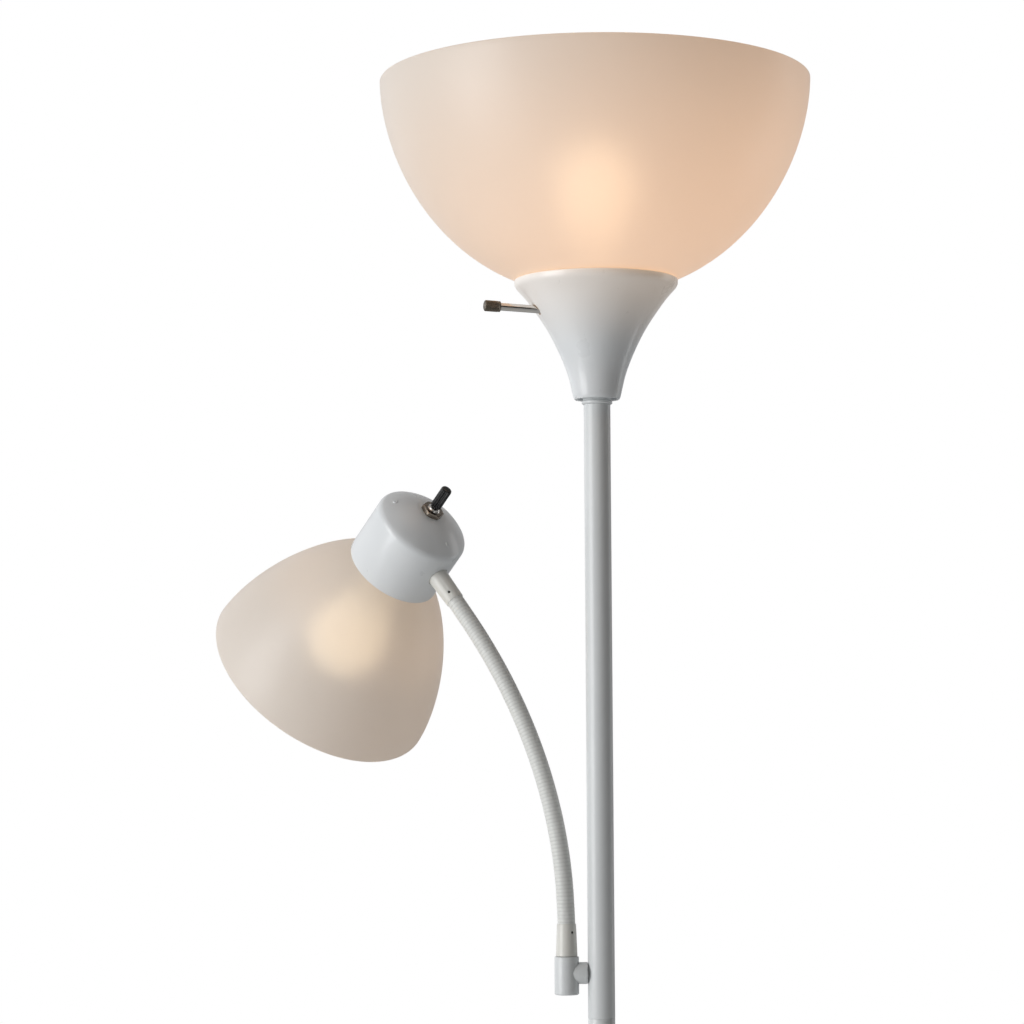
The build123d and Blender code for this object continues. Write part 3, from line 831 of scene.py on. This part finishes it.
@dataclass
class Funnel(Assembly):
    """Flared plastic funnel that carries the upper shade, with a painted glow from the upper bulb."""

    lamp: Vector
    wall: float = 2.2 * MM
    lip: float = 1.2 * MM
    stem_hole: float = 4.4 * MM
    hole: float = 5.1 * MM
    flare: tuple[Point, ...] = ((0.0, 19.0), (25.5, 25.6), (55.0, 38.9), (80.0, 55.3), (93.5, 66.6))
    body: str = "stand"

    def __post_init__(self) -> None:
        """Read the places from the frame."""
        super().__init__()
        self.foot, self.top = low("funnel").z, high("funnel").z
        self.seat = high("pole_top_ring").z
        self.mouth = high("funnel").x

    def build(self) -> None:
        """Make the funnel."""
        side = [(radius * MM, self.foot + rise * MM) for rise, radius in self.flare]
        outside = smooth_line(side, 10)
        inside = [p for p in inset(outside, self.wall)[::-1] if p[1] > self.seat + self.wall]
        foot_r = outside[0][0]
        lip = (self.mouth - self.lip, self.top - self.lip)
        top = [(self.mouth - 0.15 * MM, self.top - 4.2 * MM), *arc(lip, self.lip, 0, 180, 10)]
        floor = [(self.hole, self.seat + self.wall), (self.hole, self.seat),
                 (foot_r - self.wall + 0.9 * MM, self.seat), (foot_r - self.wall, self.foot + 0.9 * MM),
                 *arc((foot_r - 1.0 * MM, self.foot + 0.9 * MM), 0.9 * MM, 200, 330, 6)]
        outline = [*outside[1:], *top, *inside, *floor]
        work = Workpiece.turned("funnel_moulding", outline, 160)
        stem = joint_line("torchiere_switch_turn", back=STEM_REACH)
        hole = Workpiece.rod("hole", self.stem_hole, 0, 80 * MM).laid(stem.place())
        # painted glow near the bulb, as emission in the plastic
        plastic = replace(PLASTIC, label="lit_plastic_finish", lamp=self.lamp)
        self.add(work.cut_by(hole), plastic, self.body, "funnel", crease=30.0)


@dataclass
class ShadeSize:
    """Outline of one bowl-shaped shade."""

    mouth: float
    depth: float
    side: float
    floor: float
    floor_r: float = 24 * MM
    hole: float = 20.8 * MM
    wall: float = 2.0 * MM

    def outer(self, steps: int = 44) -> list[Point]:
        """Outside from the mouth to the floor, as (radius, distance from the mouth)."""
        end = (self.floor_r / self.mouth) ** (self.floor / 2)
        reach = sqrt(1 - end * end)
        rises = [sin(i / steps * pi / 2) * reach for i in range(steps + 1)]
        return [(self.mouth * (1 - rise ** 2) ** (1 / self.floor), self.depth * rise ** (2 / self.side))
                for rise in rises]

    def outline(self) -> list[Point]:
        """Closed outline, with the outside of the floor at height 0."""
        outer = self.outer()
        deep = outer[-1][1]
        outside = [(radius, deep - down) for radius, down in outer][::-1]
        inside = [p for p in inset(outside, self.wall)[::-1] if p[1] > self.wall and p[0] > self.floor_r]
        half = self.wall / 2
        rim = arc((self.mouth - half, deep - half), half, 0, 180, 8)
        floor = [(self.floor_r, self.wall), (self.hole, self.wall), (self.hole, 0)]
        return [*outside[:-1], *rim, *[p for p in inside if p[1] < deep - half], *floor]


@dataclass
class Light(Assembly):
    """One light: shade, shade ring and bulb on a common spindle."""

    prefix: str
    body: str
    spindle: Spindle
    shape: ShadeSize
    glow: FrostedShade
    lit: OpalBulb
    bulb_radius: float = 33.5 * MM
    bulb_centre: float = BULB_HEIGHT
    neck: float = 12.6 * MM
    collar: float = 18 * MM
    ring_flutes: int = 30

    def __post_init__(self) -> None:
        """Start with no pieces."""
        super().__init__()

    def build(self) -> None:
        """Make shade, ring and bulb."""
        place = self.spindle.place()
        shade = Workpiece.turned(f"{self.prefix}_shade_opal", self.shape.outline(), 192)
        self.add(shade.laid(place), self.glow, self.body, f"{self.prefix}_shade")
        self.clamp_ring(place)
        self.bulb(place)

    def clamp_ring(self, place: Matrix) -> None:
        """Threaded ring that clamps the shade on its holder."""
        foot, outer, bore = self.shape.wall, self.shape.floor_r - 0.4 * MM, self.shape.hole - 0.75 * MM
        outline = [(bore, foot), (outer, foot), (outer, foot + 3.6 * MM),
                   (outer - 0.9 * MM, foot + 4.5 * MM),
                   (bore + 0.6 * MM, foot + 4.5 * MM), (bore, foot + 3.9 * MM)]
        ring = Workpiece.turned(f"{self.prefix}_clamp_ring", outline, self.ring_flutes * 6)
        ring.fluted(self.ring_flutes, 0.9 * MM, foot, foot + 4.4 * MM, outer - 1.2 * MM)
        self.add(ring.laid(place), PHENOLIC, self.body, f"{self.prefix}_shade_ring")

    def bulb(self, place: Matrix) -> None:
        """Pear-shaped opal bulb."""
        neck_rise = self.bulb_centre - 47 * MM
        side = smooth_line([(self.neck, self.collar), (self.neck + 0.6 * MM, self.collar + 7 * MM),
                            (19.5 * MM, neck_rise), (30.2 * MM, self.bulb_centre - 17 * MM),
                            (self.bulb_radius, self.bulb_centre)], 8)
        dome = arc((0, self.bulb_centre), self.bulb_radius, 0, 90, 16)[1:]
        outline = [(0, self.collar), *side, *dome[:-1], (0, self.bulb_centre + self.bulb_radius)]
        name = f"{self.prefix}_bulb"
        work = Workpiece.turned(f"{name}_opal", outline, 72, Line.OPEN)
        self.add(work.laid(place), self.lit, self.body, f"{name}_glass")


@dataclass
class StemSwitch(Assembly):
    """Rotary switch of the upper light: a long stem with a knurled knob."""

    stem: float = 3.2 * MM
    knob: float = 4.6 * MM
    run: float = 82 * MM
    knob_length: float = 13.7 * MM
    knurls: int = 34
    body: str = "torchiere_switch"

    def __post_init__(self) -> None:
        """Find the stem's line."""
        super().__init__()
        self.spindle = joint_line("torchiere_switch_turn", back=STEM_REACH)

    def build(self) -> None:
        """Make the stem and the knob."""
        place = self.spindle.place()
        rod = [(0, 1 * MM), (self.stem, 1 * MM), (self.stem, self.run), (0, self.run)]
        self.add(Workpiece.turned("switch_stem_rod", rod, 64, Line.OPEN).laid(place),
                 CHROME, self.body, "switch_stem")
        end = self.run + self.knob_length
        plain = self.run + 1.6 * MM
        knob = self.knob
        outline = [(0, self.run), (knob - 0.7 * MM, self.run), (knob - 0.1 * MM, self.run + 0.5 * MM),
                   (knob - 0.1 * MM, plain), (knob - 0.45 * MM, plain + 0.3 * MM),
                   (knob, plain + 0.8 * MM), (knob, end - 1.1 * MM), (knob - 0.5 * MM, end - 0.4 * MM),
                   (knob - 1.3 * MM, end), (knob - 2.0 * MM, end), (knob - 2.2 * MM, end - 0.3 * MM),
                   (0, end - 0.3 * MM)]
        work = Workpiece.turned("switch_knob_knurled", outline, self.knurls * 6, Line.OPEN)
        work.fluted(self.knurls, 0.34 * MM, plain + 0.7 * MM, end - 1.0 * MM, self.knob - 0.8 * MM)
        self.add(work.laid(place), KNURLED, self.body, "switch_knob", crease=50.0)


@dataclass
class Bracket(Assembly):
    """Upright tee beside the pole, and the short spacer that holds it off."""

    seam: float = 0.22 * MM
    corner: float = 0.6 * MM
    end_curl: float = 1.0 * MM
    foot_curl: float = 1.5 * MM
    bore: float = 5.05 * MM
    cavity: float = 8.0 * MM
    roof: float = 6.5 * MM
    body: str = "stand"

    def __post_init__(self) -> None:
        """Read the places from the frame."""
        super().__init__()
        self.axis = joint_line("arm_swivel")
        self.foot, self.top = low("arm_tee").z, high("arm_tee").z
        self.radius = (high("arm_tee").y - low("arm_tee").y) / 2
        self.arm_radius = (high("arm_spacer").z - low("arm_spacer").z) / 2
        self.pole_radius = high("pole_lower").x

    def build(self) -> None:
        """Make the tee and the spacer."""
        x = self.axis.origin.x
        curl, roof = self.foot_curl, self.top - self.roof
        outline = [(self.cavity, self.foot),
                   *arc((self.radius - curl, self.foot + curl), curl, 275, 360, 6),
                   (self.radius, self.top - 0.5 * MM), (self.radius - 0.4 * MM, self.top - 0.1 * MM),
                   (self.radius - 0.6 * MM, self.top), (self.bore, self.top), (self.bore, roof),
                   (self.cavity, roof)]
        tee = Workpiece.turned("arm_tee_turned", outline, 128).laid(Matrix.Translation((x, 0, 0)))
        way = arm_line()
        tee.cut_by(Workpiece.rod("hole", ARM_HOLE, 5 * MM, -x).laid(way.place()))
        self.add(tee, PAINT, self.body, "arm_tee", crease=30.0)

        end, inner = self.pole_radius + 0.05 * MM, -x - 2 * MM
        corner = (self.arm_radius - self.end_curl, end + self.end_curl)
        side = [(0, end), *arc(corner, self.end_curl, 270, 360, 6), (self.arm_radius, inner), (0, inner)]
        spacer = Workpiece.turned("arm_spacer_turned", side, 128, Line.OPEN).laid(way.place())
        height = way.origin.z
        tool = Workpiece.rod("tool", self.radius + self.seam, height - 20 * MM, height + 20 * MM, 192)
        spacer.cut_by(tool.laid(Matrix.Translation((x, 0, 0)))).rounded(self.corner, 3, 40)
        self.add(spacer, PAINT, self.body, "arm_spacer", crease=30.0)


@dataclass
class Sleeve(Assembly):
    """Tapered sleeve that grips one end of the neck, with its set screw."""

    name: str
    screw: str
    body: str
    spindle: Spindle
    screw_way: Vector
    length: float
    big: float = 8.85 * MM
    small: float = 7.85 * MM
    grip: float = 12 * MM
    bore: float = 5.05 * MM
    socket: float = 5.6 * MM
    screw_radius: float = 1.1 * MM
    screw_from_neck: float = 6.8 * MM

    def __post_init__(self) -> None:
        """Start with no pieces."""
        super().__init__()

    def build(self) -> None:
        """Make the sleeve and its screw; the spindle starts at the neck's end."""
        big, small = self.big, self.small
        outline = [(self.socket, 0), (small - 0.6 * MM, 0), (small - 0.18 * MM, 0.2 * MM),
                   (small, 0.7 * MM), (big, self.length - 0.4 * MM),
                   (big - 0.35 * MM, self.length), (self.bore, self.length),
                   (self.bore, self.grip), (self.socket, self.grip)]
        work = Workpiece.turned(f"{self.name}_turned", outline, 128).laid(self.spindle.place())
        way = Spindle(self.spindle.at(self.screw_from_neck), self.screw_way.normalized())
        hole = Workpiece.rod("hole", self.screw_radius + 0.1 * MM, 3 * MM, 12 * MM, 32)
        work.cut_by(hole.laid(way.place())).rounded(0.12 * MM, 2, 50)
        self.add(work, WARM_PAINT, self.body, self.name, crease=30.0)
        screw = Workpiece.rod(f"{self.screw}_grub", self.screw_radius, self.socket + 0.1 * MM,
                              small - 0.75 * MM, 32)
        key = Workpiece.rod("key", 0.62 * MM, small - 1.8 * MM, small, 6)
        self.add(screw.cut_by(key).laid(way.place()), BLACKENED, self.body, self.screw)


@dataclass
class Neck(Assembly):
    """Bendable neck: short ribbed spans, each shaped along the neck's curve and covering one hinge."""

    radius: float = 7.25 * MM
    bore: float = 4.0 * MM
    groove: float = 0.2 * MM
    pitch: float = 3.0 * MM
    tuck: float = 6 * MM
    mouth: float = 1.2 * MM
    bearing: float = 31.5
    head_lean: float = 39.85

    def __post_init__(self) -> None:
        """Read the hinges from the frame, from the pole to the reading light."""
        super().__init__()
        names = {joint["child"]: joint for joint in frame["joints"]}
        links = sorted(node for node in frame["nodes"] if node.startswith("gooseneck_link_"))
        self.bodies = ["swivel", *(f"link_{i + 1}" for i in range(len(links))), "head"]
        self.links = links
        self.hinges = [Vector(names[body]["pos_m"]) for body in self.bodies[1:]]
        middles = [(a + b) / 2 for a, b in zip(self.hinges, self.hinges[1:])]
        runs = [(b - a).normalized() for a, b in zip(self.hinges, self.hinges[1:])]
        first, last = Vector((0, 0, 1)), self.last_run()
        self.stations = [self.hinges[0] - first * self.tuck, *middles, self.hinges[-1] + last * self.tuck]
        self.runs = [first, *runs, last]
        self.holds = [self.hinges[0] - first * self.mouth, *middles, self.hinges[-1] + last * self.mouth]

    def last_run(self) -> Vector:
        """Direction of the sleeve at the far end."""
        lean = radians(self.head_lean)
        turn = radians(self.bearing)
        return Vector((-sin(lean) * cos(turn), sin(lean) * sin(turn), cos(lean)))

    def build(self) -> None:
        """Make one span for each hinge."""
        for i in range(len(self.hinges)):
            self.span(i)

    def span(self, index: int) -> None:
        """A ribbed tube from the middle of one link to the middle of the next."""
        start, end = self.stations[index], self.stations[index + 1]
        chord = (end - start).length
        ribs = max(2, round(chord / self.pitch))
        side = grooved(self.radius, self.groove, 0, chord, ribs)
        outline = [(self.bore, 0), *side, (self.bore, chord)]
        work = Workpiece.turned(f"neck_span_{index + 1}", outline, 64)
        # groove depth, 0 to 1, which drives the sleeving's painted shade and its roughness
        marks = work.mesh.verts.layers.float.new("groove")
        for vertex in work.mesh.verts:
            depth = (self.radius - hypot(vertex.co.x, vertex.co.y)) / self.groove
            vertex[marks] = min(1.0, max(0.0, depth))
        leave, arrive = self.runs[index] * chord, self.runs[index + 1] * chord
        turn = radians(self.bearing)
        across = Vector((-sin(turn), -cos(turn), 0))

        def centre(part: float) -> Vector:
            """Point of the bent centre line, at a part of the span."""
            return hermite(start, end, leave, arrive, part)

        def follow(point: Vector) -> Vector:
            """Where a point of the straight tube lies on the bent one."""
            part, step = point.z / chord, 1e-3
            ahead = centre(part + step) - centre(part - step)
            side_way = across.cross(ahead.normalized())
            return centre(part) + side_way * point.x + across * point.y

        piece = work.reshaped(follow).finished(NECK, crease=60.0)
        tuple(self.holds[index])
        tuple(self.holds[index + 1])
        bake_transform(piece)
        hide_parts(*self.replaced(index))
        self.pieces.append(piece)

    def replaced(self, index: int) -> list[str]:
        """CAD links that a span covers."""
        covered = [f"gooseneck_link_{i}" for i in (index, index + 1)]
        return [node for node in covered if node in self.links]


@dataclass
class Head(Assembly):
    """Cap of the reading light, with its rotary switch, nut and fluted knob."""

    radius: float = 41.4 * MM
    wall: float = 2.2 * MM
    mouth: float = -30.8 * MM
    top: float = 36.6 * MM
    crown: float = 60 * MM
    crown_centre: float = -22 * MM
    shoulder: float = 8 * MM
    barrel: float = 15 * MM
    barrel_foot: float = 8 * MM
    shaft_hole: float = 3.1 * MM
    bushing: float = 5.6 * MM
    bushing_top: float = 43 * MM
    nut_flats: float = 17.4 * MM
    nut_height: float = 4.2 * MM
    knob: float = 4.7 * MM
    knob_foot: float = 43.6 * MM
    knob_top: float = 64 * MM
    pip_place: float = 31 * MM
    pip_bearings: tuple[float, float] = (143.0, 278.0)
    flutes: int = 14
    flute_depth: float = 0.75 * MM
    sleeve_hole: float = 9.1 * MM
    body: str = "head"

    def __post_init__(self) -> None:
        """Find the cap's line."""
        super().__init__()
        self.spindle = joint_line("reading_switch_turn", back=CAP_REACH)

    def build(self, neck_end: Spindle) -> None:
        """Make the cap and its switch.

        Args:
            neck_end: Line of the sleeve, from the end of the neck into the cap.
        """
        self.cap(neck_end)
        self.nut()
        self.switch()
        self.turn_knob()

    def profile(self, inward: float) -> list[Point]:
        """Outline of the closed end from its side to its flat seat.

        Args:
            inward: Distance inside the outer face.

        Returns:
            Points from the side of the cap to the edge of the seat.
        """
        radius, crown, shoulder = self.radius - inward, self.crown - inward, self.shoulder - inward
        lean = asin((radius - shoulder) / (crown - shoulder))
        height = self.crown_centre + (crown - shoulder) * cos(lean)
        meet = 90 - degrees(lean)
        seat = degrees(asin((self.top - inward - self.crown_centre) / crown))
        return [*arc((radius - shoulder, height), shoulder, 0, meet, 12),
                *arc((0, self.crown_centre), crown, meet, seat, 16)[1:]]

    def pip(self, bearing: float) -> Workpiece:
        """Small moulded pip on the crown.

        Args:
            bearing: Angle round the cap, in degrees.

        Returns:
            The pip, on the line of the cap.
        """
        lean = asin(self.pip_place / self.crown)
        dome = arc((1.3 * MM, -0.2 * MM), 0.9 * MM, 0, 90, 8)
        work = Workpiece.turned("pip", [(2.2 * MM, -0.8 * MM), *dome, (0, 0.72 * MM)], 40, Line.OPEN)
        return work.laid(Matrix.Rotation(radians(bearing), 4, "Z")
                         @ Matrix.Translation((0, 0, self.crown_centre))
                         @ Matrix.Rotation(lean, 4, "Y") @ Matrix.Translation((0, 0, self.crown)))

    def cap(self, neck_end: Spindle) -> None:
        """Moulded cap with a rolled mouth, two pips and a hole for the sleeve."""
        lip = 0.5 * MM
        bore, inner = self.bushing + 0.1 * MM, self.radius - self.wall
        outside = [(self.radius - 0.5 * MM, self.mouth), (self.radius - 0.12 * MM, self.mouth + 0.2 * MM),
                   (self.radius, self.mouth + 0.7 * MM), *self.profile(0), (bore, self.top)]
        inside = [(bore, self.top - self.wall), *reversed(self.profile(self.wall)),
                  (inner, self.mouth + lip), (inner + 0.4 * MM, self.mouth)]
        work = Workpiece.turned("head_cap_moulding", outside + inside, 160)
        work.joined(*map(self.pip, self.pip_bearings)).laid(self.spindle.place())
        hole = Workpiece.rod("hole", self.sleeve_hole, 0, 45 * MM, 96).laid(neck_end.place())
        self.add(work.cut_by(hole), PLASTIC, self.body, "head_cap", crease=30.0)

    def nut(self) -> None:
        """Chamfered hexagon nut on a thin washer face."""
        flat_r, bore_r = self.nut_flats / 2, self.bushing + 0.05 * MM
        corner_r = flat_r / cos(pi / 6)
        foot, top = self.top, self.top + self.nut_height
        work = Workpiece.rod("switch_nut_hexagon", corner_r, foot + 0.5 * MM, top, 6)
        slope = [(flat_r - 0.2 * MM, top + 0.1 * MM), (corner_r + 1 * MM, top - 1.1 * MM),
                 (corner_r + 4 * MM, top - 1.1 * MM), (corner_r + 4 * MM, top + 1 * MM),
                 (flat_r - 0.2 * MM, top + 1 * MM)]
        bore = Workpiece.rod("bore", bore_r, foot - 1 * MM, top + 1 * MM, 64)
        work.cut_by(Workpiece.turned("tool", slope, 96), bore).rounded(0.16 * MM, 2, 25)
        side = tube(flat_r + 0.3 * MM, bore_r, foot + 0.02 * MM, foot + 0.55 * MM)
        work.joined(Workpiece.turned("washer", side, 96).rounded(0.15 * MM, 2))
        self.add(work.laid(self.spindle.place()), NICKEL, self.body, "switch_hex_nut", crease=20.0)

    def switch(self) -> None:
        """Switch body inside the cap, with its threaded bushing and polished nose."""
        seat, nut_top = self.top - self.wall, self.top + self.nut_height
        nose, floor = self.bushing - 0.7 * MM, seat - 6 * MM
        thread = grooved(self.bushing, 0.35 * MM, seat + 0.1 * MM, nut_top + 0.4 * MM, 10)
        dome = arc((nose - 1.8 * MM, self.bushing_top - 1.8 * MM), 1.8 * MM, 0, 90, 6)
        outline = [(0, self.barrel_foot), (self.barrel, self.barrel_foot), (self.barrel, seat - 3 * MM),
                   (self.barrel - 3 * MM, seat), *thread, (nose, nut_top + 0.6 * MM), *dome,
                   (self.shaft_hole, self.bushing_top), (self.shaft_hole, floor), (0, floor)]
        work = Workpiece.turned("head_switch_barrel", outline, 96, Line.OPEN)
        self.add(work.laid(self.spindle.place()), CHROME, self.body, "head_switch_body", crease=30.0)

    def turn_knob(self) -> None:
        """Black fluted knob on a plain spindle."""
        foot, top, shaft = self.knob_foot, self.knob_top, 3 * MM
        dome = arc((self.knob - 1.5 * MM, top - 1.5 * MM), 1.5 * MM, 0, 78, 6)
        tip = self.top - self.wall - 5 * MM
        outline = [(0, tip), (shaft, tip), (shaft, foot),
                   (self.knob - 0.9 * MM, foot), (self.knob - 0.3 * MM, foot + 0.3 * MM),
                   (self.knob - 0.1 * MM, foot + 1.0 * MM), (self.knob, foot + 1.4 * MM), *dome,
                   (0.6 * self.knob, top + 0.05 * MM), (0, top + 0.1 * MM)]
        work = Workpiece.turned("head_knob_fluted", outline, self.flutes * 10, Line.OPEN)
        work.fluted(self.flutes, self.flute_depth, foot + 0.5 * MM, top - 0.4 * MM, shaft + 0.8 * MM)
        self.add(work.laid(self.spindle.place()), BLACK, "head_knob", "head_switch_knob", crease=50.0)


# ---- room, light and camera --------------------------------------------------

@dataclass(frozen=True)
class SoftBox:
    """A large soft lamp of the studio."""

    name: str
    place: Vector
    target: Vector
    width: float
    height: float
    power: float
    colour: Colour = (1, 1, 1)

    def hang(self) -> None:
        """Add the lamp to the scene, unseen by the camera itself."""
        data = bpy.data.lights.new(self.name, "AREA")
        data.shape, data.size, data.size_y = "RECTANGLE", self.width, self.height
        data.energy, data.color = self.power, self.colour
        lamp = bpy.data.objects.new(self.name, data)
        lamp.location = self.place
        lamp.rotation_mode = "QUATERNION"
        lamp.rotation_quaternion = (self.target - self.place).to_track_quat("-Z", "Y")
        lamp.visible_camera = False
        bpy.context.scene.collection.objects.link(lamp)


@dataclass(frozen=True)
class Studio:
    """Pale floor, white surround, soft lamps and the camera."""

    floor_radius: float = 10.0
    floor_colour: Colour = srgb(240, 240, 239)
    eye: Vector = field(default_factory=lambda: Vector((-0.0708, -2.480, 1.262)))
    pitch: float = 4.25
    roll: float = -0.32
    lens: float = 106.0

    def set_up(self) -> None:
        """Make the whole room."""
        self.floor()
        self.surround()
        self.lamps()
        self.camera()
        bpy.context.scene.view_settings.view_transform = "Standard"

    def floor(self) -> None:
        """Round pale floor."""
        mesh = bmesh.new()
        bmesh.ops.create_circle(mesh, cap_ends=True, segments=128, radius=self.floor_radius)
        data = bpy.data.meshes.new("studio_floor")
        mesh.to_mesh(data)
        mesh.free()
        recipe = Recipe("studio_floor")
        recipe.drive("Base Color", recipe.tint(recipe.noise(1.5), self.floor_colour,
                                               shade_of(self.floor_colour, 1.02)))
        recipe.fix(Roughness=0.8)
        data.materials.append(recipe.made)
        made = bpy.data.objects.new("studio_floor", data)
        bpy.context.scene.collection.objects.link(made)

    def surround(self) -> None:
        """White backdrop, and a softer studio that lights and mirrors in the lamp."""
        world = bpy.data.worlds.new("studio")
        bpy.context.scene.world = world
        world.use_nodes = True
        tree = world.node_tree
        tree.nodes.clear()
        out = tree.nodes.new("ShaderNodeOutputWorld")
        mix = tree.nodes.new("ShaderNodeMixShader")
        path = tree.nodes.new("ShaderNodeLightPath")
        seen, room = tree.nodes.new("ShaderNodeBackground"), tree.nodes.new("ShaderNodeBackground")
        seen.inputs["Color"].default_value = (1, 1, 1, 1)
        room.inputs["Color"].default_value = (0.97, 0.985, 1.0, 1)
        where = tree.nodes.new("ShaderNodeTexCoord")
        split = tree.nodes.new("ShaderNodeSeparateXYZ")
        tree.links.new(where.outputs["Generated"], split.inputs["Vector"])
        behind = self.band(tree, split.outputs["Y"], 0.05, 0.95, 0.035, 0.50)
        left = self.band(tree, split.outputs["X"], 0.2, -0.9, 0.0, 0.56)
        tree.links.new(self.added(tree, behind, left), room.inputs["Strength"])
        tree.links.new(path.outputs["Is Camera Ray"], mix.inputs["Fac"])
        tree.links.new(room.outputs["Background"], mix.inputs[1])
        tree.links.new(seen.outputs["Background"], mix.inputs[2])
        tree.links.new(mix.outputs["Shader"], out.inputs["Surface"])

    @staticmethod
    def band(tree: bpy.types.NodeTree, source: Socket, start: float, end: float,
             dark: float, bright: float) -> Socket:
        """Brightness that rises smoothly between two values of a direction."""
        made = tree.nodes.new("ShaderNodeMapRange")
        made.interpolation_type = "SMOOTHSTEP"
        limits = {"From Min": start, "From Max": end, "To Min": dark, "To Max": bright}
        for key, value in limits.items():
            made.inputs[key].default_value = value
        tree.links.new(source, made.inputs["Value"])
        return made.outputs["Result"]

    @staticmethod
    def added(tree: bpy.types.NodeTree, first: Socket, second: Socket) -> Socket:
        """Sum of two brightnesses."""
        made = tree.nodes.new("ShaderNodeMath")
        made.operation = "ADD"
        tree.links.new(first, made.inputs[0])
        tree.links.new(second, made.inputs[1])
        return made.outputs["Value"]

    def lamps(self) -> None:
        """Key from the left, weak fill from the front, rim from the right behind."""
        middle = Vector((0, 0, 1.35))
        SoftBox("key", Vector((-2.9, -1.4, 1.5)), middle, 1.8, 2.6, 57.0).hang()
        SoftBox("fill", Vector((0.4, -3.8, 2.4)), middle, 1.5, 1.5, 4.0, (1.0, 0.86, 0.70)).hang()
        SoftBox("rim", Vector((2.2, 1.1, 1.6)), middle, 0.7, 2.2, 5.0).hang()

    def camera(self) -> None:
        """Long lens at standing height, tipped up a little."""
        data = bpy.data.cameras.new("camera")
        data.lens, data.sensor_width = self.lens, 36.0
        data.clip_start, data.clip_end = 0.05, 60.0
        made = bpy.data.objects.new("camera", data)
        made.matrix_world = (Matrix.Translation(self.eye)
                             @ Matrix.Rotation(radians(90 + self.pitch), 4, "X")
                             @ Matrix.Rotation(radians(self.roll), 4, "Z"))
        bpy.context.scene.collection.objects.link(made)
        bpy.context.scene.camera = made


def dress_hidden_nodes() -> None:
    """Give every CAD node that still shows the finish of its slot."""
    for name, node in frame["nodes"].items():
        if node.hide_render:
            continue
        finish = HIDDEN_FINISHES[node.data.materials[0].name.split(".")[0]]
        node.data.materials[0] = finish.material()
        log.info("carried over: %s in %s", name, finish.slot)


def main() -> None:
    """Build every sub-assembly, dress what is carried over and set up the room."""
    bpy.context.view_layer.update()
    head_line = joint_line("reading_switch_turn", back=CAP_REACH)
    neck = Neck()
    neck_foot = Spindle(neck.hinges[0] - Vector((0, 0, neck.mouth)), Vector((0, 0, -1)))
    neck_end = Spindle(neck.hinges[-1] + neck.runs[-1] * neck.mouth, neck.runs[-1])
    front = Vector((0, -1, 0))
    lower_way = Vector((sin(SCREW_BEARING), -cos(SCREW_BEARING), 0))
    upper_way = front - neck_end.direction * front.dot(neck_end.direction)

    upper = ShadeSize(179 * MM, 177.7 * MM, 1.808, 2.165)
    reading = ShadeSize(103.3 * MM, READING_DEPTH, 1.56, 1.75)
    upper_line = upright(z=high("torchiere_shade").z - upper.outer()[-1][1])
    reading_floor = reading.outer()[-1][1] - READING_DROP - READING_DEPTH
    reading_line = Spindle(head_line.at(reading_floor), -head_line.direction)
    upper_bulb, reading_bulb = upper_line.at(BULB_HEIGHT), reading_line.at(BULB_HEIGHT)
    # the upper shade's painted glow is centred off the bulb, towards the front right
    painted_glow_centre = upper_bulb + Vector((40 * MM, -30 * MM, 0))
    # the frosted shades carry a painted glow round a point by each bulb
    frosted = FrostedShade("frosted_shade", srgb(218, 218, 215), 0.4)
    opal = OpalBulb("bulb_glass", srgb(240, 238, 232), 0.2)

    assemblies = [
        (Base(), ()),
        (Pole(), ()),
        (Funnel(upper_bulb), ()),
        (Light("torchiere", "stand", upper_line, upper,
               replace(frosted, label="upper_shade_glass", bulb=painted_glow_centre),
               replace(opal, label="upper_bulb_glass", bright=upper_bulb)), ()),
        (StemSwitch(), ()),
        (Bracket(), ()),
        (Sleeve("lower_sleeve", "lower_set_screw", "swivel", neck_foot, lower_way,
                neck_foot.origin.z - low("lower_sleeve").z), ()),
        (neck, ()),
        (Sleeve("upper_sleeve", "upper_set_screw", "head", neck_end, upper_way, UPPER_SLEEVE), ()),
        (Head(), (neck_end,)),
        (Light("reading", "head", reading_line, reading,
               replace(frosted, label="reading_shade_glass", bulb=reading_bulb, strength=0.5, rest=0.13,
                       near=0.045, far=0.09),
               replace(opal, label="reading_bulb_glass", bright=reading_bulb)), ()),
    ]
    for assembly, given in assemblies:
        assembly.build(*given)
        assembly.report()
    dress_hidden_nodes()
    Studio().set_up()


if __name__ == "__main__":
    logging.basicConfig(level=logging.INFO, format="%(message)s")
    main()
